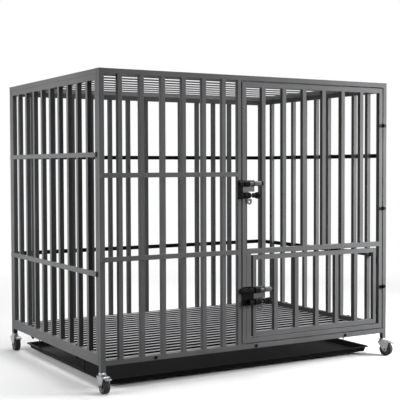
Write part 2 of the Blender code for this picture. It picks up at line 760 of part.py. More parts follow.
def small_door(hinge, offset):
    """Small door of lighter tube with its own bars and hinge barrels."""
    inside = BAR / 2
    stiles = [
        upright(SMALL_LEFT, 0.0, SMALL_BOTTOM, SMALL_TOP, BAR),
        upright(SMALL_RIGHT - BAR, 0.0, SMALL_BOTTOM, SMALL_TOP, BAR),
    ]
    rails = [
        along_x(SMALL_LEFT + inside, SMALL_RIGHT - inside, 0.0, SMALL_BOTTOM, BAR, SHARP),
        along_x(SMALL_LEFT + inside, SMALL_RIGHT - inside, 0.0, SMALL_TOP - BAR, BAR, SHARP),
    ]
    bars = []
    for x in spaced(SMALL_LEFT + BAR, SMALL_RIGHT - BAR, SMALL_BARS, BAR):
        bars.append(upright(x, 0.0, SMALL_BOTTOM + inside, SMALL_TOP - inside, BAR, SHARP))
    obj = welded("small_door", DOOR_PAINT, hinge, (stiles, rails, bars), offset)
    for height in SMALL_HINGE_HEIGHTS:
        bottom = BASE + height + BARREL_LENGTH + RUNNING_GAP
        hinge_barrel(obj, bottom, SMALL_RIGHT - WELD_SINK, False)
    return obj


# Big door hinges


def hinge_leaf(name, middle, side, pinned, parent, offset=(0.0, 0.0, 0.0)):
    """A leaf flat on its tube with a rivet head and a knuckle about the hinge axis."""
    bottom = middle - LEAF_HEIGHT / 2
    knuckle_bottom = middle + RUNNING_GAP / 2
    if pinned:
        knuckle_bottom = middle - KNUCKLE_LENGTH - RUNNING_GAP / 2
    knuckle_top = knuckle_bottom + KNUCKLE_LENGTH
    near = HINGE_X + side * (KNUCKLE_RADIUS + 2 * FIT_GAP)
    far = HINGE_X + side * (DOOR_GAP / 2 + LEAF_WIDTH)
    left, right = sorted((near, far))
    low = (left, -FIT_GAP - LEAF_THICKNESS, bottom)
    leaf = [(low, (right, -FIT_GAP, bottom + LEAF_HEIGHT), Z_AXIS, SHARP)]
    left, right = sorted((HINGE_X, near + side * 2 * TUBE_EDGE))
    low = (left, -FIT_GAP - LEAF_THICKNESS, knuckle_bottom)
    web = [(low, (right, -FIT_GAP, knuckle_top), Z_AXIS, SHARP)]
    obj = welded(name, BLACK_PAINT, parent, (leaf, web), offset)
    knuckle = bmesh.new()
    start = (HINGE_X, HINGE_Y, knuckle_bottom)
    add_rod(knuckle, KNUCKLE_RADIUS, start, (HINGE_X, HINGE_Y, knuckle_top))
    combine(obj, knuckle, "UNION")
    rivet = bmesh.new()
    seat = (far - side * RIVET_INSET, -FIT_GAP - LEAF_THICKNESS / 2, middle)
    rise = LEAF_THICKNESS / 2 + RIVET_RISE
    dome = ((0.0, 0.0), (RIVET_RADIUS, 0.0), (RIVET_RADIUS, 0.6 * rise), (RIVET_RADIUS / 2, rise))
    add_turned(rivet, dome + ((0.0, rise),), 8, pointing(seat, (0.0, -1.0, 0.0)))
    combine(obj, rivet, "UNION")
    if pinned:
        pin = bmesh.new()
        end = knuckle_top + RUNNING_GAP + KNUCKLE_LENGTH + PIN_SHOW
        start = (HINGE_X, HINGE_Y, knuckle_top - PIN_SHOW)
        add_rod(pin, HINGE_PIN_RADIUS, start, (HINGE_X, HINGE_Y, end), 8)
        return combine(obj, pin, "UNION")
    below = (HINGE_X, HINGE_Y, knuckle_bottom - KNUCKLE_RADIUS)
    above = (HINGE_X, HINGE_Y, knuckle_top + KNUCKLE_RADIUS)
    return bore(obj, HINGE_PIN_RADIUS + RUNNING_GAP, below, above)


def big_door_hinges(root, hinge, offset):
    """Three hinges, each a pinned leaf on the post and a bored leaf on the door."""
    for level, height in HINGE_HEIGHTS.items():
        hinge_leaf("hinge_post_leaf_" + level, BASE + height, 1.0, True, root)
        hinge_leaf("hinge_door_leaf_" + level, BASE + height, -1.0, False, hinge, offset)


# Latches


def barrel(bm, x_start, x_end, height, radius, bore_radius):
    """A bored barrel along X on the latch's stand-off line."""
    length = x_end - x_start
    profile = ((bore_radius, 0.0), (radius, 0.0), (radius, length), (bore_radius, length))
    start = (x_start, -LATCH_STANDOFF, height)
    add_turned(bm, profile, 12, pointing(start, (1.0, 0.0, 0.0)), bored=True)


def blind_keeper(bm, x_end, height, bore_radius, length, nose):
    """A keeper barrel closed at its far end, with a blunt nose past the post."""
    depth = length - KEEPER_WALL
    profile = [(0.0, depth), (bore_radius, depth), (bore_radius, 0.0), (KEEPER_RADIUS, 0.0)]
    profile.append((KEEPER_RADIUS, length))
    if nose > 0.0:
        profile.append((KEEPER_NOSE_RADIUS, length))
        profile.append((KEEPER_NOSE_RADIUS, length + 0.7 * nose))
        profile.append((KEEPER_NOSE_RADIUS / 2, length + nose))
        profile.append((0.0, length + nose))
    else:
        profile.append((0.0, length))
    add_turned(bm, profile, 12, pointing((x_end, -LATCH_STANDOFF, height), (-1.0, 0.0, 0.0)))


def keeper_plate(name, left, right, bolt_height, parent, offset=(0.0, 0.0, 0.0)):
    """Saddle plate with feet under the two keepers, before the keepers are added."""
    feet = []
    for height in (bolt_height, bolt_height - PLUNGER_DROP):
        low = (left, KEEPER_FOOT_FRONT, height - KEEPER_FOOT / 2)
        high = (right, -FIT_GAP - LATCH_PLATE_THICKNESS / 2, height + KEEPER_FOOT / 2)
        feet.append((low, high, X_AXIS, SHARP))
    bottom = bolt_height - PLUNGER_DROP - LATCH_PLATE_BELOW
    low = (left, -FIT_GAP - LATCH_PLATE_THICKNESS, bottom)
    high = (right, -FIT_GAP, bolt_height + LATCH_PLATE_RISE)
    plate = [(low, high, Z_AXIS, SHARP)]
    return welded(name, BLACK_PAINT, parent, (plate, feet), offset)


def upper_keeper(root):
    """Keepers on the middle post for the big door's bolt and plunger."""
    height = BASE + UPPER_BOLT_HEIGHT
    right = MID_POST_RIGHT - STRAP_EDGE
    obj = keeper_plate("upper_keeper", MID_POST_LEFT + STRAP_EDGE, right, height, root)
    bm = bmesh.new()
    bore_radius = BOLT_RADIUS + BOLT_CLEARANCE
    blind_keeper(bm, right, height, bore_radius, KEEPER_LENGTH, KEEPER_NOSE)
    plunger_bore = PLUNGER_RADIUS + BOLT_CLEARANCE
    length = right - MID_POST_LEFT - STRAP_EDGE
    blind_keeper(bm, right, height - PLUNGER_DROP, plunger_bore, length, 0.0)
    return combine(obj, bm, "UNION")


def lower_keeper(hinge, offset):
    """Keepers on the big door's doubled stile; the longest one overhangs the middle post."""
    height = BASE + LOWER_BOLT_HEIGHT
    left = DOOR_LEFT + STRAP_EDGE
    right = LATCH_TUBE_RIGHT - STRAP_EDGE
    obj = keeper_plate("lower_keeper", left, right, height, hinge, offset)
    bolt_bore = BOLT_RADIUS + BOLT_CLEARANCE
    plunger_bore = PLUNGER_RADIUS + BOLT_CLEARANCE
    split = DOOR_LEFT + TUBE
    near = split - STRAP_EDGE
    far = split + STRAP_EDGE
    length = near - DOOR_LEFT + KEEPER_OVERHANG
    bm = bmesh.new()
    blind_keeper(bm, near, height, bolt_bore, length, 0.0)
    barrel(bm, far, right, height, KEEPER_RADIUS, bolt_bore)
    barrel(bm, far, right, height - PLUNGER_DROP, KEEPER_RADIUS, plunger_bore)
    return combine(obj, bm, "UNION")


def latch_body(name, free_edge, height, parent, offset):
    """Back plate with a holed tab for a padlock, under the bolt's guide and the plunger's two."""
    left = free_edge + LATCH_PLATE_START
    right = free_edge + LATCH_PLATE_END
    low = height - PLUNGER_DROP
    bottom = low - LATCH_PLATE_BELOW
    top = height + LATCH_PLATE_RISE
    tab_left = free_edge + TAB_START
    tab_right = tab_left + TAB_WIDTH
    tab_x = (tab_left + tab_right) / 2
    tab_z = bottom - TAB_DROP + TAB_WIDTH / 2
    notch = free_edge + COLLAR_END + KNOB_NOTCH
    notch_top = low + KNOB_RADIUS + KNOB_NOTCH
    outline = [(left, top), (left, bottom), (tab_left, bottom)]
    outline += arc((tab_x, tab_z), TAB_WIDTH / 2, 180.0, 360.0, 6)
    outline += [(tab_right, bottom), (notch, bottom), (notch, notch_top)]
    outline += [(right, notch_top), (right, top)]
    bm = bmesh.new()
    stand = Matrix.Translation((0.0, -FIT_GAP, 0.0)) @ Matrix.Rotation(math.pi / 2, 4, "X")
    add_plate(bm, outline, LATCH_PLATE_THICKNESS, stand)
    obj = finish(name, bm, ZINC, parent, offset)
    bore(obj, TAB_HOLE_RADIUS, (tab_x, -TUBE, tab_z), (tab_x, TUBE, tab_z), 10)
    guides = bmesh.new()
    bolt_bore = BOLT_RADIUS + BOLT_CLEARANCE
    plunger_bore = PLUNGER_RADIUS + BOLT_CLEARANCE
    start = free_edge - BOLT_GUIDE_OVERHANG
    barrel(guides, start, free_edge + BOLT_GUIDE_END, height, GUIDE_RADIUS, bolt_bore)
    barrel(guides, start, free_edge + PLUNGER_GUIDE_END, low, GUIDE_RADIUS, plunger_bore)
    start = free_edge + COLLAR_START
    barrel(guides, start, free_edge + COLLAR_END, low, GUIDE_RADIUS, plunger_bore)
    return combine(obj, guides, "UNION")


def slide_bolt(name, free_edge, height, parent, offset):
    """Round bolt with a thicker grip at its outer end."""
    grip = GRIP_START
    end = GRIP_START + GRIP_LENGTH
    ease = GRIP_RADIUS / 3
    profile = (
        (0.0, 0.0),
        (0.6 * BOLT_RADIUS, 0.0),
        (BOLT_RADIUS, 0.4 * BOLT_RADIUS),
        (BOLT_RADIUS, grip),
        (GRIP_RADIUS - ease / 2, grip),
        (GRIP_RADIUS, grip + ease / 2),
        (GRIP_RADIUS, end - ease),
        (GRIP_RADIUS - ease, end),
        (0.0, end),
    )
    bm = bmesh.new()
    start = (free_edge, -LATCH_STANDOFF, height)
    add_turned(bm, profile, 12, pointing(start, (1.0, 0.0, 0.0)))
    return finish(name, bm, BRIGHT_STEEL, parent, offset, smooth=True)


def plunger_pin(name, free_edge, height, parent, offset):
    """Plunger under the bolt, running into its knob."""
    end = KNOB_START + KNOB_LENGTH / 2
    profile = (
        (0.0, 0.0),
        (0.6 * PLUNGER_RADIUS, 0.0),
        (PLUNGER_RADIUS, 0.4 * PLUNGER_RADIUS),
        (PLUNGER_RADIUS, end),
        (0.0, end),
    )
    bm = bmesh.new()
    start = (free_edge, -LATCH_STANDOFF, height - PLUNGER_DROP)
    add_turned(bm, profile, 10, pointing(start, (1.0, 0.0, 0.0)))
    return finish(name, bm, BRIGHT_STEEL, parent, offset, smooth=True)


def plunger_knob(name, free_edge, height, parent, offset):
    """Round knob, narrower at its neck, bored for the plunger."""
    bore_radius = PLUNGER_RADIUS + FIT_GAP
    bore_end = KNOB_LENGTH / 2 + FIT_GAP
    neck = 0.75 * KNOB_RADIUS
    ease = KNOB_RADIUS / 5
    profile = (
        (0.0, bore_end),
        (bore_radius, bore_end),
        (bore_radius, 0.0),
        (neck, 0.0),
        (neck, ease),
        (KNOB_RADIUS, 3 * ease),
        (KNOB_RADIUS, KNOB_LENGTH - ease),
        (KNOB_RADIUS - ease, KNOB_LENGTH),
        (0.0, KNOB_LENGTH),
    )
    bm = bmesh.new()
    start = (free_edge + KNOB_START, -LATCH_STANDOFF, height - PLUNGER_DROP)
    add_turned(bm, profile, 12, pointing(start, (1.0, 0.0, 0.0)))
    return finish(name, bm, BLACK_PLASTIC, parent, offset, smooth=True)


def latch(prefix, free_edge, height, door_pivot, door_place):
    """A whole latch: its body on the door, bolt and plunger on their own pivots."""
    offset = back_to_cage(door_place)
    latch_body(prefix + "_latch_body", free_edge, height, door_pivot, offset)
    bolt_place = Vector((free_edge, -LATCH_STANDOFF, height))
    bolt_pivot = pivot(prefix + "_bolt_slide", bolt_place - Vector(door_place), door_pivot)
    slide_bolt(prefix + "_bolt", free_edge, height, bolt_pivot, back_to_cage(bolt_place))
    drop = Vector((0.0, 0.0, PLUNGER_DROP))
    plunger_place = bolt_place - drop
    slide = pivot(prefix + "_plunger_slide", plunger_place - Vector(door_place), door_pivot)
    offset = back_to_cage(plunger_place)
    plunger_pin(prefix + "_plunger_pin", free_edge, height, slide, offset)
    plunger_knob(prefix + "_plunger_knob", free_edge, height, slide, offset)


# Tray and its hangers


def tray_outline(inset, steps=TRAY_CORNER_STEPS):
    """Rounded rectangle inside the tray's outer edge."""
    left = TRAY_LEFT + inset
    right = TRAY_RIGHT - inset
    front = TRAY_FRONT + inset
    back = TRAY_BACK - inset
    radius = max(TRAY_CORNER_RADIUS - inset, 0.25 * TRAY_CORNER_RADIUS)
    points = arc((right - radius, back - radius), radius, 0.0, 90.0, steps)
    points += arc((left + radius, back - radius), radius, 90.0, 180.0, steps)
    points += arc((left + radius, front + radius), radius, 180.0, 270.0, steps)
    points += arc((right - radius, front + radius), radius, 270.0, 360.0, steps)
    return points


def tray(slide, offset):
    """Shallow pan with a flat rim and flared walls."""
    bottom = TRAY_TOP - TRAY_DEPTH
    levels = (
        (TRAY_RIM + TRAY_FLARE + TRAY_WALL, bottom + TRAY_WALL),
        (TRAY_RIM + TRAY_WALL, TRAY_TOP),
        (0.0, TRAY_TOP),
        (0.0, TRAY_TOP - TRAY_WALL),
        (TRAY_RIM, TRAY_TOP - TRAY_WALL),
        (TRAY_RIM + TRAY_FLARE, bottom),
    )
    bm = bmesh.new()
    rings = []
    for inset, height in levels:
        rings.append([bm.verts.new((x, y, height)) for x, y in tray_outline(inset)])
    bm.faces.new(rings[0])
    bm.faces.new(rings[-1])
    for lower, upper in zip(rings, rings[1:]):
        for i in range(len(lower)):
            bm.faces.new((lower[i - 1], lower[i], upper[i], upper[i - 1]))
    return finish("tray", bm, BLACK_PLASTIC, slide, offset)


def hanger(name, root, side_x, inward):
    """Bent wire from one side bolt to the next, passing under the tray's rim."""
    first, last = side_bolt_places()
    eye_middle = BASE - FIT_GAP - HANGER_EYE_THICKNESS / 2
    run_height = TRAY_TOP - TRAY_WALL - FIT_GAP - HANGER_WIRE_RADIUS
    run_x = side_x + inward * (TRAY_SIDE_INSET - LEG_MIDDLE + HANGER_STAND_OFF)
    clear_x = side_x + inward * (TRAY_SIDE_INSET - LEG_MIDDLE - HANGER_STAND_OFF)
    rim_level = TRAY_TOP + HANGER_WIRE_RADIUS
    start_x = side_x + inward * HANGER_EYE_LAP
    start_height = BASE - 2 * FIT_GAP - HANGER_WIRE_RADIUS
    down = [
        (start_x, 0.0, start_height),
        (start_x + inward * HANGER_WIRE_RADIUS, 0.0, start_height),
        (clear_x, 0.0, start_height - HANGER_BEND / 2),
        (clear_x, 0.0, rim_level),
        (clear_x, 0.15 * HANGER_BEND, run_height + HANGER_WIRE_RADIUS / 2),
        ((clear_x + run_x) / 2, 0.55 * HANGER_BEND, run_height),
        (run_x, HANGER_BEND, run_height),
    ]
    points = [(x, first + y, z) for x, y, z in down]
    points += [(x, last - y, z) for x, y, z in reversed(down)]
    curve = bpy.data.curves.new("wire", "CURVE")
    curve.dimensions = "3D"
    curve.bevel_depth = HANGER_WIRE_RADIUS
    curve.bevel_resolution = 1
    curve.use_fill_caps = True
    spline = curve.splines.new("POLY")
    spline.points.add(len(points) - 1)
    for point, place in zip(spline.points, points):
        point.co = (*place, 1.0)
    wire = bpy.data.objects.new("wire", curve)
    bpy.context.scene.collection.objects.link(wire)
    bpy.context.view_layer.update()
    depsgraph = bpy.context.evaluated_depsgraph_get()
    wire_mesh = bpy.data.meshes.new_from_object(wire.evaluated_get(depsgraph))
    bm = bmesh.new()
    bm.from_mesh(wire_mesh)
    bmesh.ops.remove_doubles(bm, verts=bm.verts, dist=1e-6)
    bpy.data.objects.remove(wire)
    bpy.data.curves.remove(curve)
    bpy.data.meshes.remove(wire_mesh)
    obj = finish(name, bm, BLACK_PAINT, root)
    eyes = bmesh.new()
    for y in (first, last):
        low = (side_x, y, eye_middle - HANGER_EYE_THICKNESS / 2)
        high = (side_x, y, eye_middle + HANGER_EYE_THICKNESS / 2)
        add_rod(eyes, HANGER_EYE_RADIUS, low, high, RACE_SEGMENTS)
    combine(obj, eyes, "UNION")
    radius = PANEL_BOLT_RADIUS + PANEL_BOLT_CLEARANCE
    for y in (first, last):
        bore(obj, radius, (side_x, y, BASE - TUBE), (side_x, y, BASE + TUBE))
    return obj


# Casters, each modelled round its own swivel axis with the wheel trailing along +X


def caster_stem(name, root, place):
    """Stud, collar and upper race fixed in the leg, riveted under the fork's crown."""
    stud_top = CASTER_HEIGHT + STUD_LENGTH
    head_top = CROWN_BOTTOM - RUNNING_GAP
    head_bottom = head_top - RIVET_HEAD_HEIGHT
    profile = (
        (0.0, head_bottom),
        (0.7 * RIVET_HEAD_RADIUS, head_bottom),
        (RIVET_HEAD_RADIUS, head_top),
        (STUD_RADIUS, head_top),
        (STUD_RADIUS, RACE_BOTTOM),
        (RACE_RADIUS, RACE_BOTTOM),
        (RACE_RADIUS, RACE_TOP),
        (STUD_COLLAR_RADIUS, COLLAR_TOP),
        (STUD_RADIUS, COLLAR_TOP),
        (STUD_RADIUS, stud_top),
        (0.0, stud_top),
    )
    bm = bmesh.new()
    add_turned(bm, profile, RACE_SEGMENTS, Matrix.Translation(place))
    return finish(name, bm, ZINC, root, smooth=True)


def cheek_outline():
    """Side of the fork, from the crown down to the boss round the axle."""
    crown = CROWN_TOP
    boss = (CASTER_TRAIL, WHEEL_RADIUS)
    outline = [(-CROWN_BACK, crown), (-CROWN_BACK, crown - CHEEK_BRACE_DROP)]
    outline += arc(boss, CHEEK_BOSS_RADIUS, 205.0, 360.0, 5)
    front_low = PEDAL_PIVOT_HEIGHT - 1.5 * PEDAL_EYE_RADIUS
    outline += [(CHEEK_FRONT, front_low), (CHEEK_FRONT, crown)]
    return outline


def caster_fork(name, swivel):
    """Pressed fork: two cheeks, a crown and the lower race cup."""
    stand = Matrix.Rotation(math.pi / 2, 4, "X")
    bm = bmesh.new()
    for side_y in (FORK_OUTSIDE, -FORK_INSIDE):
        add_plate(bm, cheek_outline(), FORK_SHEET, Matrix.Translation((0, side_y, 0)) @ stand)
    obj = finish(name, bm, ZINC, swivel)
    crown = bmesh.new()
    reach = FORK_OUTSIDE - FORK_SHEET / 4
    outline = [(-CROWN_BACK + STRAP_EDGE, -reach), (CROWN_FRONT, -reach)]
    outline += [(CROWN_FRONT, reach), (-CROWN_BACK + STRAP_EDGE, reach)]
    stand = Matrix.Translation((0.0, 0.0, CROWN_BOTTOM))
    add_plate(crown, outline, FORK_SHEET - STRAP_EDGE / 2, stand)
    combine(obj, crown, "UNION")
    cup = bmesh.new()
    profile = (
        (0.0, CROWN_BOTTOM + FORK_SHEET / 2),
        (RACE_RADIUS - STRAP_EDGE, CROWN_BOTTOM + FORK_SHEET / 2),
        (RACE_RADIUS, CROWN_TOP + RACE_CUP_HEIGHT),
        (0.0, CROWN_TOP + RACE_CUP_HEIGHT),
    )
    add_turned(cup, profile, RACE_SEGMENTS, Matrix.Identity(4))
    combine(obj, cup, "UNION")
    hole = STUD_RADIUS + RUNNING_GAP
    above = (0.0, 0.0, CROWN_TOP + TUBE)
    bore(obj, hole, (0.0, 0.0, CROWN_BOTTOM - TUBE / 2), above, RACE_SEGMENTS)
    far = 2 * FORK_OUTSIDE
    axle = (CASTER_TRAIL, WHEEL_RADIUS)
    bore(obj, AXLE_RADIUS + FIT_GAP, (axle[0], -far, axle[1]), (axle[0], far, axle[1]))
    pin = (PEDAL_PIVOT_AHEAD, PEDAL_PIVOT_HEIGHT)
    return bore(obj, PEDAL_PIN_RADIUS + FIT_GAP, (pin[0], -far, pin[1]), (pin[0], far, pin[1]))


def caster_wheel(name, spin):
    """Wheel with eased tread edges and a bored hub that stands a little proud."""
    half = WHEEL_WIDTH / 2
    bore_radius = AXLE_RADIUS + RUNNING_GAP
    side = [
        (bore_radius, HUB_WIDTH / 2),
        (HUB_RADIUS, HUB_WIDTH / 2),
        (WHEEL_RADIUS - WHEEL_SHOULDER, half),
        (WHEEL_RADIUS, half - WHEEL_SHOULDER),
    ]
    profile = side + [(radius, -height) for radius, height in reversed(side)]
    bm = bmesh.new()
    add_turned(bm, profile, WHEEL_SEGMENTS, Matrix.Rotation(math.pi / 2, 4, "X"), bored=True)
    return finish(name, bm, BLACK_RUBBER, spin, smooth=True)


def pin_profile(radius, head_radius, head_height, reach):
    """A pin with a head at each end, from the outside of one cheek to the other."""
    return (
        (0.0, -reach - head_height),
        (0.7 * head_radius, -reach - head_height),
        (head_radius, -reach),
        (radius, -reach),
        (radius, reach),
        (head_radius, reach),
        (0.7 * head_radius, reach + head_height),
        (0.0, reach + head_height),
    )


def caster_axle(name, swivel):
    """Headed axle across the fork."""
    bm = bmesh.new()
    reach = FORK_OUTSIDE + FIT_GAP
    profile = pin_profile(AXLE_RADIUS, AXLE_HEAD_RADIUS, AXLE_HEAD_HEIGHT, reach)
    stand = Matrix.Translation((CASTER_TRAIL, 0.0, WHEEL_RADIUS))
    add_turned(bm, profile, 8, stand @ Matrix.Rotation(math.pi / 2, 4, "X"))
    return finish(name, bm, BRIGHT_STEEL, swivel)


def brake_pedal(name, lever):
    """Foot pedal with its pin ends, reaching out over the wheel with a raised lip."""
    half = PEDAL_WIDTH / 2
    eye = bmesh.new()
    add_rod(eye, PEDAL_EYE_RADIUS, (0.0, -half, 0.0), (0.0, half, 0.0), 10)
    obj = finish(name, eye, ZINC, lever)
    top = PEDAL_SHEET / 2
    tip = PEDAL_REACH
    outline = [
        (0.0, -top),
        (0.6 * tip, -top),
        (tip, -top - PEDAL_TIP_DROP),
        (tip + PEDAL_LIP, -top - PEDAL_TIP_DROP + PEDAL_LIP),
        (tip + PEDAL_LIP - PEDAL_SHEET, -top - PEDAL_TIP_DROP + PEDAL_LIP + PEDAL_SHEET / 2),
        (tip - PEDAL_SHEET / 2, top - PEDAL_TIP_DROP),
        (0.6 * tip, top),
        (0.0, top),
    ]
    blade = bmesh.new()
    stand = Matrix.Translation((0.0, half - STRAP_EDGE / 2, 0.0))
    stand = stand @ Matrix.Rotation(math.pi / 2, 4, "X")
    add_plate(blade, outline, PEDAL_WIDTH - STRAP_EDGE, stand)
    combine(obj, blade, "UNION")
    pin = bmesh.new()
    reach = FORK_OUTSIDE + PIN_SHOW
    add_rod(pin, PEDAL_PIN_RADIUS, (0.0, -reach, 0.0), (0.0, reach, 0.0), 8)
    return combine(obj, pin, "UNION")


def caster(corner, root, x, y):
    """One whole caster under a leg."""
    place = (x, y, 0.0)
    caster_stem("caster_stem_" + corner, root, place)
    swivel = pivot("caster_swivel_" + corner, place, root, CASTER_TURNS[corner])
    caster_fork("caster_fork_" + corner, swivel)
    caster_axle("caster_axle_" + corner, swivel)
    spin = pivot("wheel_spin_" + corner, (CASTER_TRAIL, 0.0, WHEEL_RADIUS), swivel)
    caster_wheel("caster_wheel_" + corner, spin)
    lever_place = (PEDAL_PIVOT_AHEAD, 0.0, PEDAL_PIVOT_HEIGHT)
    lever = pivot("brake_lever_" + corner, lever_place, swivel)
    brake_pedal("brake_pedal_" + corner, lever)


# The whole cage


def clear_scene():
    """Removes whatever the open scene holds."""
    for obj in list(bpy.data.objects):
        bpy.data.objects.remove(obj)


def stand_on_origin(root):
    """Moves the cage so that its origin is on the floor under the middle of its box."""
    bpy.context.view_layer.update()
    corners = []
    for obj in bpy.data.objects:
        if obj.type == "MESH":
            corners += [obj.matrix_world @ vertex.co for vertex in obj.data.vertices]
    low = [min(corner[i] for corner in corners) for i in range(3)]
    high = [max(corner[i] for corner in corners) for i in range(3)]
    root.location = (-(low[0] + high[0]) / 2, -(low[1] + high[1]) / 2, -low[2])


def main():
    clear_scene()
    root = pivot("cage", (0.0, 0.0, 0.0), None)
    front_panel(root)
    back_panel(root)
    side_panel("left_panel", root, 0.0, 1.0)
    side_panel("right_panel", root, WIDTH, -1.0)
    top_panel(root)
    floor_grate(root)
    panel_bolts(root)
    hanger("tray_hanger_left", root, LEG_MIDDLE, 1.0)
    hanger("tray_hanger_right", root, WIDTH - LEG_MIDDLE, -1.0)

    tray_place = ((TRAY_LEFT + TRAY_RIGHT) / 2, TRAY_FRONT, TRAY_TOP)
    tray(pivot("tray_slide", tray_place, root), back_to_cage(tray_place))

    door_place = (HINGE_X, HINGE_Y, DOOR_BOTTOM)
    door = pivot("big_door_hinge", door_place, root)
    door_offset = back_to_cage(door_place)
    big_door(door, door_offset)
    big_door_hinges(root, door, door_offset)
    lower_keeper(door, door_offset)
    upper_keeper(root)
    latch("upper", DOOR_LEFT, BASE + UPPER_BOLT_HEIGHT, door, door_place)

    small_place = (SMALL_HINGE_X, SMALL_HINGE_Y, SMALL_BOTTOM)
    small = pivot("small_door_hinge", Vector(small_place) - Vector(door_place), door)
    small_door(small, back_to_cage(small_place))
    latch("lower", SMALL_LEFT, BASE + LOWER_BOLT_HEIGHT, small, small_place)

    far_x = WIDTH - LEG_MIDDLE
    far_y = DEPTH - LEG_MIDDLE
    caster("front_left", root, LEG_MIDDLE, LEG_MIDDLE)
    caster("front_right", root, far_x, LEG_MIDDLE)
    caster("rear_left", root, LEG_MIDDLE, far_y)
    caster("rear_right", root, far_x, far_y)
    stand_on_origin(root)


main()
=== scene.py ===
"""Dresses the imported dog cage: coats, weld beads, bolts, latches, casters, tray and a stage.

Run as a script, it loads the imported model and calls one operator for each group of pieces. A
sidebar panel lists the operators and their settings. Lengths are in metres, with X to the right
along the front, Y to the back and Z up.
"""

import json
import math

import bpy
from bpy.props import FloatProperty, FloatVectorProperty, IntProperty, PointerProperty
from mathutils import Matrix, Vector


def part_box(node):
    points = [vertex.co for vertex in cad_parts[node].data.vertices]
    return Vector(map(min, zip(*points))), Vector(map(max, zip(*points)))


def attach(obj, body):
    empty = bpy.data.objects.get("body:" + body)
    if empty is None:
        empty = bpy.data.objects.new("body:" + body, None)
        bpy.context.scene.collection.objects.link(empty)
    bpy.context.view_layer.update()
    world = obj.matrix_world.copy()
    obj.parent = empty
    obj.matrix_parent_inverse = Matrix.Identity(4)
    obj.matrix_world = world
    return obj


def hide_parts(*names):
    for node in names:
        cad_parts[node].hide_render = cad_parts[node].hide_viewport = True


bl_info = {
    "name": "Dog cage looks",
    "version": (1, 0, 0),
    "blender": (4, 5, 0),
    "location": "View3D > Sidebar > Cage",
    "description": "Finishes a steel bar cage with its coats, welds, latches and casters",
    "category": "Object",
}

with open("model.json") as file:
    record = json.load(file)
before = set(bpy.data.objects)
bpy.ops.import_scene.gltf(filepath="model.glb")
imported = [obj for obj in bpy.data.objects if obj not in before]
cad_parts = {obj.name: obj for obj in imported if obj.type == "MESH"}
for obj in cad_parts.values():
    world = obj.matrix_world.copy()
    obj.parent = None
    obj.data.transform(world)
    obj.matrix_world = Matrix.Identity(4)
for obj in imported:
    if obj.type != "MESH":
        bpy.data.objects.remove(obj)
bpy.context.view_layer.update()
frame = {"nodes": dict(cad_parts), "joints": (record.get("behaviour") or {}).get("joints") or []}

# Depth of the frame's tubes, and width of the bars between them
TUBE = 0.018
BAR = 0.016

# The cage's outer front left corner on the floor, from which the places below are measured, and
# the cage's width. Straps stand proud of the front panel's tubes, so the tubes' front is found
# from their back.
FRONT_LOW, FRONT_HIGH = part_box("front_panel")
CORNER = Vector((FRONT_LOW.x, FRONT_HIGH.y - TUBE, 0.0))
WIDTH = FRONT_HIGH.x - FRONT_LOW.x
CASTER_CORNERS = ("front_left", "front_right", "rear_left", "rear_right")

# Rows of upright bars: the body they ride on, the first bar's left edge, the pitch, the count,
# the heights of the two rails' faces that they meet, and the depth at which their beads start
UPRIGHT_ROWS = {
    "front": ("cage", 0.0662, 0.08012, 6, (0.106, 1.044), 0.001),
    "back": ("cage", 0.08771, 0.08571, 13, (0.106, 1.0256), 0.857),
    "door": ("big_door", 0.6347, 0.09046, 6, (0.447, 1.022), 0.001),
    "small_door": ("small_door", 0.688, 0.093, 5, (0.147, 0.407), 0.001),
}

# A side panel's bars: the first one's front edge, the pitch, the count and the rails' faces, and
# where the beads of each side start
SIDE_ROW = (0.0952, 0.0832, 9, (0.1244, 1.0256))
SIDE_STARTS = {"left": 0.001, "right": WIDTH - 0.015}

# The floor's bars: the first one's front edge, the pitch, the count and the faces that their two
# ends meet, and the height at which their beads start
FLOOR_ROW = (0.06569, 0.04529, 17, (0.018, 1.202))
FLOOR_START = 0.0905

# Weld bead: its length, the steps in its ripples, and the shares of its radius that are left in
# the dips and at the two ends
BEAD_LENGTH = 0.014
BEAD_STEPS = 8
BEAD_DIP = 0.82
BEAD_END = 0.35

# Regions by two opposite corners: the floor's bars, whose tops get a painted highlight and whose
# sides painted shade, and the small door's hinge barrels
FLOOR_BARS = ((0.03, 0.03, 0.0), (1.19, 0.84, 0.2))
HINGE_BARRELS = ((1.16925, -0.0040, 0.0), (1.18125, 0.0110, 1.1))

# Faces of bars with painted shade, a darker coat for the shade that falls on their sides, by
# node: the ways they look, and their regions
BAR_SHADE_FACES = {
    "left_panel": (((0, 1, 0), (0, -1, 0)), [((-0.1, 0.08, 0.11), (0.1, 0.86, 1.04))]),
    "right_panel": (((-1, 0, 0),), [((1.1, 0.08, 0.11), (1.212, 0.80, 1.04))]),
    "back_panel": (((0, -1, 0),), [((0.03, 0.8, 0.11), (1.19, 0.865, 1.04))]),
    "big_door": (((-1, 0, 0),), [((0.61, -0.1, 0.43), (1.19, 0.1, 1.03))]),
    "small_door": (((-1, 0, 0),), [((0.67, -0.1, 0.14), (1.16, 0.1, 0.41))]),
}

# The same for the straps' faces that are turned to the bars and seen through the cage, with
# painted shade: a near-black coat for the shade that falls there
STRAP_SHADE_FACES = {
    "back_panel": (((0, -1, 0),), [
        ((-0.1, 0.8708, 0.3815), (1.4, 1.0, 0.3975)),
        ((-0.1, 0.8708, 0.7725), (1.4, 1.0, 0.7885)),
    ]),
    "right_panel": (((-1, 0, 0),), [
        ((WIDTH - 0.0012, -0.1, 0.36), (1.4, 1.0, 0.45)),
        ((WIDTH - 0.0012, -0.1, 0.70), (1.4, 1.0, 0.80)),
    ]),
}

# Least agreement of a face's normal with the way it looks, and with up for a bar's top
FACING = 0.9
FACING_UP = 0.5

# The black strip behind the small door's hinges, a dark sheet put there as painted shade in the
# see-through gap, which also stops the door from swinging inwards
GAP_SHADE_STRIP = (Vector((1.166, 0.0186, 0.1345)), Vector((1.190, 0.0200, 0.4195)))

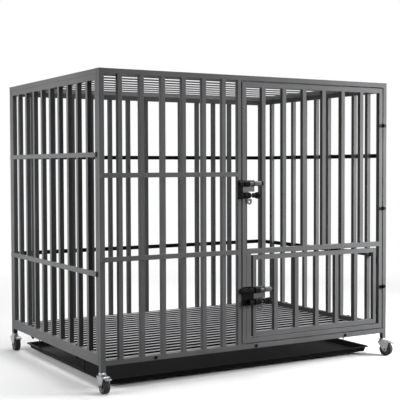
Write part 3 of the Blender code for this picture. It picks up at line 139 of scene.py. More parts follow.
# Angles in degrees: the least that is rounded, the least that stays sharp in the shading, and
# the most between faces that are merged into one. Then the reach within which points merge.
ROUNDED_ANGLE = 30.0
SHARP_ANGLE = 35.0
FLAT_ANGLE = 0.5
MERGE_REACH = 0.00001

# Each ring of a round piece is given as a radius and a distance along the piece.

# Panel bolt: rings and length of its head, radius of its shank, where its socket is cut from and
# to, rings and length of its nut, radii, spacing and number of its thread's rings, radius of its
# tip, and the length of nut and tail together
HEAD_RINGS = [
    (0.0026, 0.0), (0.0042, 0.0005), (0.0055, 0.0017), (0.0060, 0.0031), (0.0058, 0.0035),
]
HEAD_LENGTH = 0.0035
SHANK_RADIUS = 0.003
SOCKET_SPAN = (-0.001, 0.0022)
NUT_RINGS = [(0.0052, 0.0), (0.0060, 0.0005), (0.0060, 0.0045), (0.0052, 0.005)]
NUT_LENGTH = 0.005
THREAD_RADII = (0.0026, 0.0030)
THREAD_STEP = 0.0005
THREAD_RINGS = 6
TIP_RADIUS = 0.0022
NUT_AND_TAIL = 0.008

# Sides of a bolt and its thread, and of a bead, a nut and a socket
BOLT_SIDES = 24
THREAD_SIDES = 16
HEXAGON = 6

# The way in which each kind of panel bolt goes in
BOLT_WAYS = {
    "front": (0, 1, 0), "back": (0, -1, 0), "top": (0, 0, 1),
    "left": (0, 0, -1), "right": (0, 0, -1),
}

# Latch: thickness of its back plate, height of the holed tab below it, rings of the slide bolt,
# and the stretch of it that is bare steel, between the black tip and the groove
PLATE_THICKNESS = 0.0032
TAB_HEIGHT = 0.0195
ROD_RINGS = [
    (0.0036, 0.0), (0.0054, 0.0012), (0.0060, 0.0026), (0.0060, 0.0400), (0.0074, 0.0400),
    (0.0087, 0.0406), (0.0090, 0.0418), (0.0090, 0.0690), (0.0083, 0.0694), (0.0083, 0.0706),
    (0.0090, 0.0710), (0.0090, 0.0768), (0.0084, 0.0788), (0.0070, 0.0799), (0.0052, 0.0800),
    (0.0047, 0.0792),
]
BARE_STEEL = (0.0026, 0.0692)

# Plunger: rings of its pin and of its knob
PIN_RINGS = [(0.0024, 0.0), (0.0036, 0.0009), (0.0040, 0.0018), (0.0040, 0.0375)]
KNOB_RINGS = [
    (0.0084, 0.0), (0.0090, 0.0006), (0.0090, 0.0026), (0.0080, 0.0038), (0.0076, 0.0060),
    (0.0080, 0.0085), (0.0098, 0.0115), (0.0115, 0.0150), (0.0120, 0.0185), (0.0120, 0.0290),
    (0.0114, 0.0325), (0.0098, 0.0344), (0.0070, 0.0350), (0.0044, 0.0350), (0.0040, 0.0342),
]

# Caster wheel: rings of one half, from the boss out to the tread, the radius of the hub inside
# the tyre, and how many more sides it has than the other round pieces
HALF_WHEEL_RINGS = [
    (0.0062, 0.0120), (0.0076, 0.0119), (0.0080, 0.0115), (0.0082, 0.0092), (0.0162, 0.0088),
    (0.0172, 0.0098), (0.0180, 0.0104), (0.0188, 0.0100), (0.0200, 0.0108), (0.0222, 0.0110),
    (0.0238, 0.0103), (0.0246, 0.0088), (0.0249, 0.0060), (0.0250, 0.0020),
]
HUB_RADIUS = 0.0184
MORE_WHEEL_SIDES = 8

# Every finish: detail of its grain, scale and detail of its drift, the noise at which the drift
# reaches its two ends, how far the roughness swings, its least value, and the relief's strength
GRAIN_DETAIL = 3.0
DRIFT_SCALE = 7.0
DRIFT_DETAIL = 5.0
DRIFT_ENDS = (0.25, 0.75)
GLOSS_SWING = 0.06
LEAST_ROUGHNESS = 0.05
RELIEF_STRENGTH = 0.6

# Grain of the powder coats, their shine, and the relief of those without a setting for it
POWDER_GRAIN = 900.0
POWDER_SHINE = 0.03
THIN_RELIEF = 0.0001

# Floor: the length of its side, its roughness, and the distances from its middle between which
# it turns white
FLOOR_SIDE = 60.0
FLOOR_ROUGHNESS = 0.7
FLOOR_FADE = (1.1, 3.2)
WHITE = (1.0, 1.0, 1.0, 1.0)

# Lamps: place and the point that each is turned to, both from the middle of the floor, the
# length of its side, and its spread in degrees. The stage's settings of these names hold powers.
LAMPS = {
    "left_light": ((-1.85, 0.15, 0.75), (-0.6, 0.0, 0.6), 1.0, 110.0),
    "right_light": ((1.6, -1.3, 0.8), (0.4, -0.42, 0.55), 0.8, 140.0),
    "front_light": ((-0.62, -2.5, 0.7), (-0.6, -0.4, 0.6), 0.4, 90.0),
    "back_light": ((0.5, 2.6, 1.2), (0.0, 0.4, 0.5), 1.4, 180.0),
    "top_light": ((0.9, -0.2, 3.4), (0.3, 0.0, 0.0), 2.4, 180.0),
}

# Camera: place from the cage's corner, turn to the right, tilt and roll in degrees, and sensor
# width in millimetres
CAMERA_PLACE = Vector((-1.2583, -2.7903, 0.7408))
CAMERA_TURN = 30.372
CAMERA_TILT = -2.039
CAMERA_ROLL = -0.178
SENSOR_WIDTH = 36.0


class CoatSettings(bpy.types.PropertyGroup):
    """Colours and surfaces of the painted, plated and moulded pieces."""

    frame_colour: FloatVectorProperty(
        name="Frame coat", description="Powder coat of the panels", subtype="COLOR", size=3,
        default=(0.150, 0.151, 0.154), min=0.0, max=1.0,
    )
    door_colour: FloatVectorProperty(
        name="Door coat", description="Powder coat of both doors", subtype="COLOR", size=3,
        default=(0.158, 0.159, 0.162), min=0.0, max=1.0,
    )
    black_colour: FloatVectorProperty(
        name="Black paint", description="Paint of hinges, keepers, guides and bolts",
        subtype="COLOR", size=3, default=(0.006, 0.006, 0.0065), min=0.0, max=1.0,
    )
    zinc_colour: FloatVectorProperty(
        name="Zinc plate", description="Plating of the casters' stems, forks and pedals",
        subtype="COLOR", size=3, default=(0.42, 0.425, 0.44), min=0.0, max=1.0,
    )
    steel_colour: FloatVectorProperty(
        name="Turned steel", description="Slide bolts, plungers' pins and axles",
        subtype="COLOR", size=3, default=(0.085, 0.085, 0.088), min=0.0, max=1.0,
    )
    tray_colour: FloatVectorProperty(
        name="Tray plastic", description="Moulded plastic of the tray", subtype="COLOR", size=3,
        default=(0.012, 0.012, 0.0125), min=0.0, max=1.0,
    )
    peel_depth: FloatProperty(
        name="Coat texture", description="Height of the fine texture of the powder coat",
        subtype="DISTANCE", unit="LENGTH", default=0.00012, min=0.0, max=0.002,
    )


class HardwareSettings(bpy.types.PropertyGroup):
    """Sizes of the small pieces and of the rounded edges."""

    tube_edge: FloatProperty(
        name="Tube edge", description="Rounding of the tubes' edges", subtype="DISTANCE",
        unit="LENGTH", default=0.0004, min=0.0, max=0.002,
    )
    sheet_edge: FloatProperty(
        name="Sheet edge", description="Rounding of pressed and turned pieces",
        subtype="DISTANCE", unit="LENGTH", default=0.0003, min=0.0, max=0.002,
    )
    bead_radius: FloatProperty(
        name="Weld bead", description="Radius of a weld bead", subtype="DISTANCE",
        unit="LENGTH", default=0.0012, min=0.0003, max=0.004,
    )
    socket_radius: FloatProperty(
        name="Bolt socket", description="Corner radius of the hexagon socket in a bolt's head",
        subtype="DISTANCE", unit="LENGTH", default=0.0022, min=0.001, max=0.004,
    )
    smoothness: IntProperty(
        name="Round segments", description="Sides of the latches' and casters' round pieces",
        default=32, min=12, max=64,
    )


class StageSettings(bpy.types.PropertyGroup):
    """Floor, light and camera."""

    floor_colour: FloatVectorProperty(
        name="Floor", description="Colour of the floor near the cage", subtype="COLOR", size=3,
        default=(0.86, 0.86, 0.865), min=0.0, max=1.0,
    )
    left_light: FloatProperty(
        name="Left light", description="Power of the light on the left side",
        subtype="POWER", unit="POWER", default=11.0, min=0.0,
    )
    right_light: FloatProperty(
        name="Right front light", description="Power of the light at the right of the front",
        subtype="POWER", unit="POWER", default=31.0, min=0.0,
    )
    front_light: FloatProperty(
        name="Front light", description="Power of the light straight before the left corner",
        subtype="POWER", unit="POWER", default=0.9, min=0.0,
    )
    back_light: FloatProperty(
        name="Back light", description="Power of the light behind the cage",
        subtype="POWER", unit="POWER", default=10.0, min=0.0,
    )
    top_light: FloatProperty(
        name="Top light", description="Power of the light overhead",
        subtype="POWER", unit="POWER", default=158.0, min=0.0,
    )
    sky: FloatProperty(
        name="Room light", description="Strength of the even light from all sides",
        default=0.03, min=0.0, max=1.0,
    )
    floor_bounce: FloatProperty(
        name="Floor bounce", description="Share of its colour with which the floor lights the cage",
        subtype="FACTOR", default=0.08, min=0.0, max=1.0,
    )
    lens: FloatProperty(
        name="Lens", description="Camera lens on a 36 mm sensor", default=84.48, min=20.0,
        subtype="DISTANCE_CAMERA",
    )


# Finishes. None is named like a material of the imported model, which would be taken instead.


def surface(
    name, colour, roughness, grain, depth, metallic=0.0, drift=0.12, shine=0.5, stretch=(1, 1, 1)
):
    """A finish with fine grain in its relief and gloss and a slow drift in its colour."""
    material = bpy.data.materials.get(name)
    if material is not None:
        return material
    material = bpy.data.materials.new(name)
    material.use_nodes = True
    material.diffuse_color = (*colour, 1.0)
    nodes = material.node_tree.nodes
    links = material.node_tree.links
    shader = nodes["Principled BSDF"]
    shader.inputs["Metallic"].default_value = metallic
    shader.inputs["Specular IOR Level"].default_value = shine
    place = nodes.new("ShaderNodeTexCoord")
    mapping = nodes.new("ShaderNodeMapping")
    mapping.inputs["Scale"].default_value = stretch
    links.new(place.outputs["Object"], mapping.inputs["Vector"])
    fine = nodes.new("ShaderNodeTexNoise")
    fine.inputs["Scale"].default_value = grain
    fine.inputs["Detail"].default_value = GRAIN_DETAIL
    links.new(mapping.outputs["Vector"], fine.inputs["Vector"])
    slow = nodes.new("ShaderNodeTexNoise")
    slow.inputs["Scale"].default_value = DRIFT_SCALE
    slow.inputs["Detail"].default_value = DRIFT_DETAIL
    links.new(place.outputs["Object"], slow.inputs["Vector"])
    tone = nodes.new("ShaderNodeValToRGB")
    for stop, noise, share in zip(tone.color_ramp.elements, DRIFT_ENDS, (1.0 - drift, 1.0 + drift)):
        stop.position = noise
        stop.color = (*(min(1.0, channel * share) for channel in colour), 1.0)
    links.new(slow.outputs["Fac"], tone.inputs["Fac"])
    links.new(tone.outputs["Color"], shader.inputs["Base Color"])
    gloss = nodes.new("ShaderNodeMapRange")
    gloss.inputs["To Min"].default_value = max(LEAST_ROUGHNESS, roughness - GLOSS_SWING)
    gloss.inputs["To Max"].default_value = min(1.0, roughness + GLOSS_SWING)
    links.new(fine.outputs["Fac"], gloss.inputs["Value"])
    links.new(gloss.outputs["Result"], shader.inputs["Roughness"])
    relief = nodes.new("ShaderNodeBump")
    relief.inputs["Strength"].default_value = RELIEF_STRENGTH
    relief.inputs["Distance"].default_value = depth
    links.new(fine.outputs["Fac"], relief.inputs["Height"])
    links.new(relief.outputs["Normal"], shader.inputs["Normal"])
    return material


def frame_coat():
    """Dark grey powder coat of the panels and the floor."""
    coat = bpy.context.scene.cage_coats
    return surface(
        "frame_coat", coat.frame_colour, roughness=0.5, grain=POWDER_GRAIN,
        depth=coat.peel_depth, drift=0.1, shine=POWDER_SHINE,
    )


def door_coat():
    """The same coat on the doors."""
    coat = bpy.context.scene.cage_coats
    return surface(
        "door_coat", coat.door_colour, roughness=0.5, grain=POWDER_GRAIN,
        depth=coat.peel_depth, drift=0.1, shine=POWDER_SHINE,
    )


def weld_coat():
    """The coat over the weld beads, a little duller."""
    coat = bpy.context.scene.cage_coats
    return surface(
        "weld_coat", coat.frame_colour, roughness=0.56, grain=1400.0,
        depth=coat.peel_depth, drift=0.1, shine=POWDER_SHINE,
    )


def bar_sides():
    """Painted shade: a darker coat on the sides of the bars, for the shade that falls there."""
    return surface(
        "bar_sides", (0.062, 0.062, 0.064), roughness=0.55, grain=POWDER_GRAIN,
        depth=THIN_RELIEF, drift=0.15, shine=POWDER_SHINE,
    )


def strap_shade():
    """Painted shade: a near-black coat on the straps' sides that are turned to the bars."""
    return surface(
        "strap_shade", (0.004, 0.004, 0.0042), roughness=0.6, grain=POWDER_GRAIN,
        depth=THIN_RELIEF, drift=0.2, shine=0.02,
    )


def floor_tops():
    """Painted highlight: a paler coat on the floor bars' tops, where the light from above falls."""
    return surface(
        "floor_tops", (0.30, 0.30, 0.305), roughness=0.5, grain=POWDER_GRAIN,
        depth=THIN_RELIEF, drift=0.2, shine=0.2,
    )


def floor_sides():
    """Painted shade: a dark coat on the floor bars' sides, for the shade between the bars."""
    return surface(
        "floor_sides", (0.016, 0.016, 0.0168), roughness=0.6, grain=POWDER_GRAIN,
        depth=THIN_RELIEF, drift=0.2, shine=0.05,
    )


def black_paint():
    """Black paint of hinges, keepers, hangers, guides and bolts."""
    coat = bpy.context.scene.cage_coats
    return surface(
        "black_paint", coat.black_colour, roughness=0.28, grain=700.0,
        depth=0.00008, drift=0.3, shine=0.06,
    )


def plate_grey():
    """Dull grey of the latches' back plates."""
    return surface(
        "plate_grey", (0.085, 0.085, 0.088), roughness=0.42, grain=800.0,
        depth=0.00008, metallic=0.2, shine=0.3,
    )


def tab_steel():
    """Pale steel of the holed tabs."""
    return surface(
        "tab_steel", (0.10, 0.10, 0.102), roughness=0.42, grain=500.0,
        depth=0.00008, metallic=0.3, drift=0.1, shine=0.2,
    )


def zinc_plate():
    """Bright zinc of the casters."""
    coat = bpy.context.scene.cage_coats
    return surface(
        "zinc_plate", coat.zinc_colour, roughness=0.30, grain=260.0,
        depth=0.00006, metallic=0.75, drift=0.08,
    )


def turned_steel():
    """Slide bolts and axles, with a grain that is close along X, like the rings left by turning."""
    coat = bpy.context.scene.cage_coats
    return surface(
        "turned_steel", coat.steel_colour, roughness=0.3, grain=500.0,
        depth=0.00006, metallic=0.45, drift=0.08, stretch=(6.0, 0.4, 0.4),
    )


def tyre_rubber():
    """Matt black rubber of the wheels."""
    return surface(
        "tyre_rubber", (0.016, 0.016, 0.017), roughness=0.62, grain=420.0,
        depth=0.00015, drift=0.25, shine=0.3,
    )


def hub_plastic():
    """Moulded hubs inside the tyres."""
    return surface(
        "hub_plastic", (0.035, 0.035, 0.037), roughness=0.40, grain=600.0,
        depth=0.00006, drift=0.15,
    )


def knob_plastic():
    """Black plastic of the plungers' knobs."""
    return surface(
        "moulded_knob", (0.005, 0.005, 0.0055), roughness=0.20, grain=600.0,
        depth=0.00004, drift=0.2, shine=0.06,
    )


def tray_plastic():
    """Black pebbled plastic of the tray."""
    coat = bpy.context.scene.cage_coats
    return surface(
        "moulded_tray", coat.tray_colour, roughness=0.55, grain=320.0,
        depth=0.00020, drift=0.25, shine=0.03,
    )


# Modelling


def start_fresh():
    """Leaves nothing selected, so that the next operator acts on its own piece alone."""
    if bpy.context.object is not None and bpy.context.object.mode != "OBJECT":
        bpy.ops.object.mode_set(mode="OBJECT")
    bpy.ops.object.select_all(action="DESELECT")


def make_active(piece):
    """Selects one piece and makes it the one that operators act on."""
    start_fresh()
    bpy.context.view_layer.objects.active = piece
    piece.select_set(True)


def settle(name):
    """Names the piece just added and puts its place into its mesh."""
    piece = bpy.context.object
    piece.name = name
    piece.data.name = name
    bpy.ops.object.transform_apply(location=True, rotation=True, scale=True)
    return piece


def smooth(piece):
    """Shades the piece smooth but for its sharp edges."""
    make_active(piece)
    bpy.ops.object.shade_smooth_by_angle(angle=math.radians(SHARP_ANGLE))
    return piece


def rounded(piece, width, segments=2):
    """Rounds the piece's sharp edges and keeps the shading of its flat faces even."""
    make_active(piece)
    bevel = piece.modifiers.new("edges", "BEVEL")
    bevel.width = width
    bevel.segments = segments
    bevel.limit_method = "ANGLE"
    bevel.angle_limit = math.radians(ROUNDED_ANGLE)
    bpy.ops.object.modifier_apply(modifier=bevel.name)
    smooth(piece)
    flat = piece.modifiers.new("flat_faces", "WEIGHTED_NORMAL")
    flat.keep_sharp = True
    bpy.ops.object.modifier_apply(modifier=flat.name)
    return piece


def carved(piece, cutter):
    """Cuts one closed piece out of another, and removes the cutter."""
    make_active(piece)
    cut = piece.modifiers.new("cut", "BOOLEAN")
    cut.operation = "DIFFERENCE"
    cut.solver = "EXACT"
    cut.object = cutter
    bpy.ops.object.modifier_apply(modifier=cut.name)
    bpy.data.objects.remove(cutter)
    return smooth(piece)


def joined(name, pieces):
    """Joins loose shells into one named piece."""
    make_active(pieces[0])
    for piece in pieces[1:]:
        piece.select_set(True)
    bpy.ops.object.join()
    result = bpy.context.object
    result.name = name
    result.data.name = name
    return smooth(result)


def copied(piece, name, matrix):
    """A copy with its own mesh, placed by a matrix."""
    mesh = piece.data.copy()
    mesh.transform(matrix)
    copy = bpy.data.objects.new(name, mesh)
    mesh.name = name
    bpy.context.scene.collection.objects.link(copy)
    return copy


def turn_towards(direction, axis="X", up="Z"):
    """The matrix that turns a piece's own axis to a direction."""
    return Vector(direction).to_track_quat(axis, up).to_matrix().to_4x4()


def turned(name, rings, sides, start=(0, 0, 0), direction=(1, 0, 0)):
    """A round piece drawn out of a disc through its rings, from a start in a direction."""
    start_fresh()
    axis = Vector(direction).normalized()
    radius, along = rings[0]
    bpy.ops.mesh.primitive_circle_add(
        vertices=sides, radius=radius, fill_type="NGON", location=Vector(start) + axis * along,
        rotation=axis.to_track_quat("Z", "Y").to_euler(),
    )
    piece = settle(name)
    bpy.ops.object.mode_set(mode="EDIT")
    bpy.ops.mesh.select_all(action="SELECT")
    for next_radius, next_along in rings[1:]:
        step = axis * (next_along - along)
        bpy.ops.mesh.extrude_region_move(TRANSFORM_OT_translate={"value": step})
        middle = Vector(start) + axis * next_along
        ratio = next_radius / radius
        bpy.ops.transform.resize(value=(ratio, ratio, ratio), center_override=middle)
        radius, along = next_radius, next_along
    bpy.ops.mesh.select_all(action="SELECT")
    bpy.ops.mesh.normals_make_consistent(inside=False)
    bpy.ops.object.mode_set(mode="OBJECT")
    return smooth(piece)


def finished_copy(node, edge, segments=2):
    """A merged copy of a CAD node with rounded edges, which stands for it."""
    piece = copied(frame["nodes"][node], node + "_finished", Matrix.Identity(4))
    piece.data.materials.clear()
    make_active(piece)
    bpy.ops.mesh.customdata_custom_splitnormals_clear()
    bpy.ops.object.mode_set(mode="EDIT")
    bpy.ops.mesh.select_all(action="SELECT")
    bpy.ops.mesh.remove_doubles(threshold=MERGE_REACH)
    bpy.ops.mesh.dissolve_limited(angle_limit=math.radians(FLAT_ANGLE))
    bpy.ops.mesh.normals_make_consistent(inside=False)
    bpy.ops.object.mode_set(mode="OBJECT")
    return rounded(piece, edge, segments)


def seated(piece, body, materials, nodes=()):
    """Gives a piece its materials and the body it rides on, and hides the nodes it stands for."""
    piece.data.materials.clear()
    for material in materials:
        piece.data.materials.append(material)
    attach(piece, body)
    if nodes:
        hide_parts(*nodes)


def within(place, region):
    """Tells whether a place lies in a region that is measured from the cage's corner."""
    low, high = region
    offset = place - CORNER
    return all(low[i] < offset[i] < high[i] for i in range(3))


def choose_finish(piece, chooser):
    """Gives each face the number of a material, chosen by the face."""
    for polygon in piece.data.polygons:
        polygon.material_index = chooser(polygon)


def coat_faces(piece, material, ways, regions):
    """Gives one more material to the faces that look one of these ways in these regions."""
    piece.data.materials.append(material)
    number = len(piece.data.materials) - 1
    for polygon in piece.data.polygons:
        looks = any(polygon.normal.dot(Vector(way)) > FACING for way in ways)
        if looks and any(within(polygon.center, region) for region in regions):
            polygon.material_index = number


# Operators


class CAGE_OT_panels(bpy.types.Operator):
    """Rounds and coats the panels and the floor, with painted shade and highlights on their bars.
    """

    bl_idname = "cage.panels"
    bl_label = "Panels and floor"

    def execute(self, context):
        edge = context.scene.cage_hardware.tube_edge
        for node in ("front_panel", "back_panel", "left_panel", "right_panel", "top_panel"):
            piece = finished_copy(node, edge)
            seated(piece, "cage", [frame_coat()], [node])
            # Painted shade on the straps' faces turned to the bars
            if node in STRAP_SHADE_FACES:
                coat_faces(piece, strap_shade(), *STRAP_SHADE_FACES[node])
            # Painted shade on the sides of the bars
            if node in BAR_SHADE_FACES:
                coat_faces(piece, bar_sides(), *BAR_SHADE_FACES[node])

        # Painted light on the floor's bars: a paler coat on their tops as a highlight, a dark one
        # on their sides as shade
        def part(polygon):
            if not within(polygon.center, FLOOR_BARS):
                return 0
            return 1 if polygon.normal.z > FACING_UP else 2

        piece = finished_copy("floor_grate", edge)
        materials = [frame_coat(), floor_tops(), floor_sides()]
        seated(piece, "cage", materials, ["floor_grate"])
        choose_finish(piece, part)
        return {"FINISHED"}


class CAGE_OT_doors(bpy.types.Operator):
    """Rounds and coats the two doors, with painted shade on the sides of their bars."""

    bl_idname = "cage.doors"
    bl_label = "Doors"

    def execute(self, context):
        edge = context.scene.cage_hardware.tube_edge
        for node in ("big_door", "small_door"):
            piece = finished_copy(node, edge)
            seated(piece, node, [door_coat(), black_paint()], [node])
            choose_finish(piece, lambda polygon: int(within(polygon.center, HINGE_BARRELS)))
            # Painted shade on the sides of the doors' bars
            coat_faces(piece, bar_sides(), *BAR_SHADE_FACES[node])
        return {"FINISHED"}


def weld_bead(radius):
    """One rippled bead along +X from the origin, with few enough faces to repeat."""
    rings = [(BEAD_END * radius, 0.0)]
    for i in range(1, BEAD_STEPS):
        swell = 1.0 if i % 2 else BEAD_DIP
        rings.append((swell * radius, BEAD_LENGTH * i / BEAD_STEPS))
    rings.append((BEAD_END * radius, BEAD_LENGTH))
    return turned("bead", rings, HEXAGON)


def bar_edges(first, pitch, count):
    """Where the two edges of each bar in a row are."""
    return [first + pitch * i + side for i in range(count) for side in (0.0, BAR)]


def bead_row(name, bead, places, direction, body):
    """Copies of the bead at many places, joined into one piece."""
    copies = []
    for i, place in enumerate(places):
        matrix = Matrix.Translation(CORNER + Vector(place)) @ turn_towards(direction)
        copies.append(copied(bead, f"{name}_{i}", matrix))
    seated(joined(name, copies), body, [weld_coat()])


class CAGE_OT_weld_beads(bpy.types.Operator):
    """Lays a bead on each side of each bar where it meets its rails."""

    bl_idname = "cage.weld_beads"
    bl_label = "Weld beads"

    def execute(self, context):
        bead = weld_bead(context.scene.cage_hardware.bead_radius)
        for name, (body, first, pitch, count, rails, start) in UPRIGHT_ROWS.items():
            places = [(x, start, z) for x in bar_edges(first, pitch, count) for z in rails]
            bead_row("weld_beads_" + name, bead, places, (0, 1, 0), body)
        first, pitch, count, rails = SIDE_ROW
        for side, start in SIDE_STARTS.items():
            places = [(start, y, z) for y in bar_edges(first, pitch, count) for z in rails]
            bead_row("weld_beads_" + side, bead, places, (1, 0, 0), "cage")
        first, pitch, count, ends = FLOOR_ROW
        places = [(x, y, FLOOR_START) for y in bar_edges(first, pitch, count) for x in ends]
        bead_row("weld_beads_floor", bead, places, (0, 0, 1), "cage")
        bpy.data.objects.remove(bead)
        return {"FINISHED"}


def panel_bolt(length, socket, nutted):
    """A button head with a hexagon socket and a shank along +X, and a nut and a threaded tail."""
    end = length - NUT_AND_TAIL if nutted else length
    body = HEAD_RINGS + [(SHANK_RADIUS, HEAD_LENGTH), (SHANK_RADIUS, end)]
    shank = turned("shank", body, BOLT_SIDES)
    pocket = turned("socket", [(socket, along) for along in SOCKET_SPAN], HEXAGON)
    shank = carved(shank, pocket)
    if not nutted:
        return shank
    nut = turned("nut", [(radius, end + along) for radius, along in NUT_RINGS], HEXAGON)
    tail = []
    for i in range(THREAD_RINGS):
        tail.append((THREAD_RADII[i % 2], end + NUT_LENGTH + THREAD_STEP * i))
    tail.append((TIP_RADIUS, length))
    return joined("panel_bolt", [shank, nut, turned("thread", tail, THREAD_SIDES)])


class CAGE_OT_bolts(bpy.types.Operator):
    """Replaces the plain panel bolts by socket-headed ones, with nuts but for the roof's."""

    bl_idname = "cage.bolts"
    bl_label = "Panel bolts"

    def execute(self, context):
        socket = context.scene.cage_hardware.socket_radius
        for node in sorted(name for name in frame["nodes"] if name.startswith("bolt_")):
            kind = node.split("_")[1]
            way = Vector(BOLT_WAYS[kind])
            low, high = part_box(node)
            length = abs(way.dot(high - low))
            head = (low + high) / 2 - way * length / 2
            bolt = panel_bolt(length, socket, kind != "top")
            matrix = Matrix.Translation(head) @ turn_towards(way)
            piece = copied(bolt, node + "_finished", matrix)
            bpy.data.objects.remove(bolt)
            seated(piece, "cage", [black_paint()], [node])
        return {"FINISHED"}


class CAGE_OT_hinges(bpy.types.Operator):
    """Rounds and paints the leaves of the big door's hinges, the keepers and the tray's hangers."""

    bl_idname = "cage.hinges"
    bl_label = "Hinges, keepers and hangers"

    def execute(self, context):
        edge = context.scene.cage_hardware.sheet_edge
        bodies = {
            "upper_keeper": "cage", "lower_keeper": "big_door",
            "tray_hanger_left": "cage", "tray_hanger_right": "cage",
        }
        for level in ("low", "middle", "high"):
            bodies["hinge_post_leaf_" + level] = "cage"
            bodies["hinge_door_leaf_" + level] = "big_door"
        for node, body in bodies.items():
            seated(finished_copy(node, edge), body, [black_paint()], [node])
        return {"FINISHED"}


class CAGE_OT_gap_shade_strip(bpy.types.Operator):
    """Adds the flat strip that closes the gap behind the small door's hinges in black, as painted
    shade.
    """

    bl_idname = "cage.stop_strip"
    bl_label = "Stop strip"

    def execute(self, context):
        low, high = GAP_SHADE_STRIP
        start_fresh()
        bpy.ops.mesh.primitive_cube_add(
            size=1.0, location=CORNER + (low + high) / 2, scale=high - low
        )
        piece = rounded(settle("stop_strip"), context.scene.cage_hardware.sheet_edge)
        # Black paint on the strip, as painted shade in the gap behind the hinges
        seated(piece, "big_door", [black_paint()])
        return {"FINISHED"}


def latch_plate(prefix, body, edge):
    """The latch's body: a grey plate, black guides before it and a pale tab below."""
    node = prefix + "_latch_body"
    piece = finished_copy(node, edge)
    low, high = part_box(node)

    def part(polygon):
        if polygon.center.y < high.y - PLATE_THICKNESS:
            return 1
        return 2 if polygon.center.z < low.z + TAB_HEIGHT else 0

    seated(piece, body, [plate_grey(), black_paint(), tab_steel()], [node])
    choose_finish(piece, part)


def left_end(node):
    """The middle of a node's left end, from which a round piece along +X is drawn."""
    low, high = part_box(node)
    return Vector((low.x, (low.y + high.y) / 2, (low.z + high.z) / 2))


def latch_rod(prefix, body, sides):
    """The slide bolt: a thicker grip with a groove and a dished end, black at its two ends."""
    node = prefix + "_bolt"
    start = left_end(node)
    piece = turned(node + "_finished", ROD_RINGS, sides, start)
    low, high = (start.x + along for along in BARE_STEEL)
    seated(piece, body, [black_paint(), turned_steel()], [node])
    choose_finish(piece, lambda polygon: int(low < polygon.center.x < high))


def latch_plunger(prefix, body, sides):
    """The plunger's pin, and its knob with a waist and a domed end."""
    pin, knob = prefix + "_plunger_pin", prefix + "_plunger_knob"
    start = left_end(pin)
    piece = turned(pin + "_finished", PIN_RINGS, sides, start)
    seated(piece, body, [turned_steel()], [pin])
    start.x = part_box(knob)[0].x
    piece = turned(knob + "_finished", KNOB_RINGS, sides, start)
    seated(piece, body, [knob_plastic()], [knob])


class CAGE_OT_latches(bpy.types.Operator):
    """Makes both latches: plates, slide bolts, plungers and knobs."""

    bl_idname = "cage.latches"
    bl_label = "Latches"

    def execute(self, context):
        sizes = context.scene.cage_hardware
        for prefix, door in (("upper", "big_door"), ("lower", "small_door")):
            latch_plate(prefix, door, sizes.sheet_edge)
            latch_rod(prefix, prefix + "_bolt", sizes.smoothness)
            latch_plunger(prefix, prefix + "_plunger", sizes.smoothness)
        return {"FINISHED"}


def caster_wheel(sides):
    """Tyre with a crowned tread, a rim and a boss, about the Y axis through the origin."""
    rings = [(radius, -along) for radius, along in HALF_WHEEL_RINGS]
    rings += reversed(HALF_WHEEL_RINGS)
    return turned("wheel", rings, sides, direction=(0, 1, 0))


class CAGE_OT_casters(bpy.types.Operator):
    """Makes the casters' wheels and finishes their stems, forks, axles and pedals."""

    bl_idname = "cage.casters"
    bl_label = "Casters"

    def execute(self, context):
        sizes = context.scene.cage_hardware
        joints = {joint["name"]: joint for joint in frame["joints"]}
        wheel = caster_wheel(sizes.smoothness + MORE_WHEEL_SIDES)
        for corner in CASTER_CORNERS:
            spin = joints["wheel_spin_" + corner]
            place = Vector(spin["pos_m"])
            turn = turn_towards(spin["axis"], "Y")
            axis = turn.to_3x3() @ Vector((0, 1, 0))

            def in_hub(polygon, place=place, axis=axis):
                away = polygon.center - place
                away -= axis * away.dot(axis)
                return int(away.length < HUB_RADIUS)

            node = "caster_wheel_" + corner
            piece = copied(wheel, node + "_finished", Matrix.Translation(place) @ turn)
            seated(piece, "wheel_" + corner, [tyre_rubber(), hub_plastic()], [node])
            choose_finish(piece, in_hub)
            for kind, body, slot, material in (
                ("caster_stem_", "cage", "zinc", zinc_plate()),
                ("caster_fork_", "caster_" + corner, "zinc", zinc_plate()),
                ("caster_axle_", "caster_" + corner, "bright_steel", turned_steel()),
                ("brake_pedal_", "pedal_" + corner, "zinc", zinc_plate()),
            ):
                node = kind + corner
                seated(finished_copy(node, sizes.sheet_edge), body, [material], [node])
        bpy.data.objects.remove(wheel)
        return {"FINISHED"}


class CAGE_OT_tray(bpy.types.Operator):
    """Rounds the tray and gives it its pebbled plastic."""

    bl_idname = "cage.tray"
    bl_label = "Tray"

    def execute(self, context):
        piece = finished_copy("tray", context.scene.cage_hardware.sheet_edge, segments=3)
        seated(piece, "tray", [tray_plastic()], ["tray"])
        return {"FINISHED"}


def soft_lamp(name, place, target, size, spread, power):
    """A square soft light turned towards a point, unseen by the camera."""
    light = bpy.data.lights.new(name, "AREA")
    light.shape = "SQUARE"
    light.size = size
    light.energy = power
    light.spread = math.radians(spread)
    lamp = bpy.data.objects.new(name, light)
    lamp.visible_camera = False
    bpy.context.scene.collection.objects.link(lamp)
    lamp.location = place
    lamp.rotation_euler = (Vector(target) - Vector(place)).to_track_quat("-Z", "Y").to_euler()


def seen_rays(nodes, links):
    """One for rays that show a surface, straight or reflected, and nothing for the rest."""
    rays = nodes.new("ShaderNodeLightPath")
    value = rays.outputs["Is Camera Ray"]
    for name in ("Is Glossy Ray", "Is Transmission Ray"):
        either = nodes.new("ShaderNodeMath")
        either.operation = "MAXIMUM"
        links.new(value, either.inputs[0])
        links.new(rays.outputs[name], either.inputs[1])
        value = either.outputs["Value"]
    return value


def mixed(nodes, links, share, first, second):
    """A mix of two shaders by a share, which is nothing for the first and one for the second."""
    mix = nodes.new("ShaderNodeMixShader")
    links.new(share, mix.inputs["Fac"])
    links.new(first, mix.inputs[1])
    links.new(second, mix.inputs[2])
    return mix.outputs["Shader"]


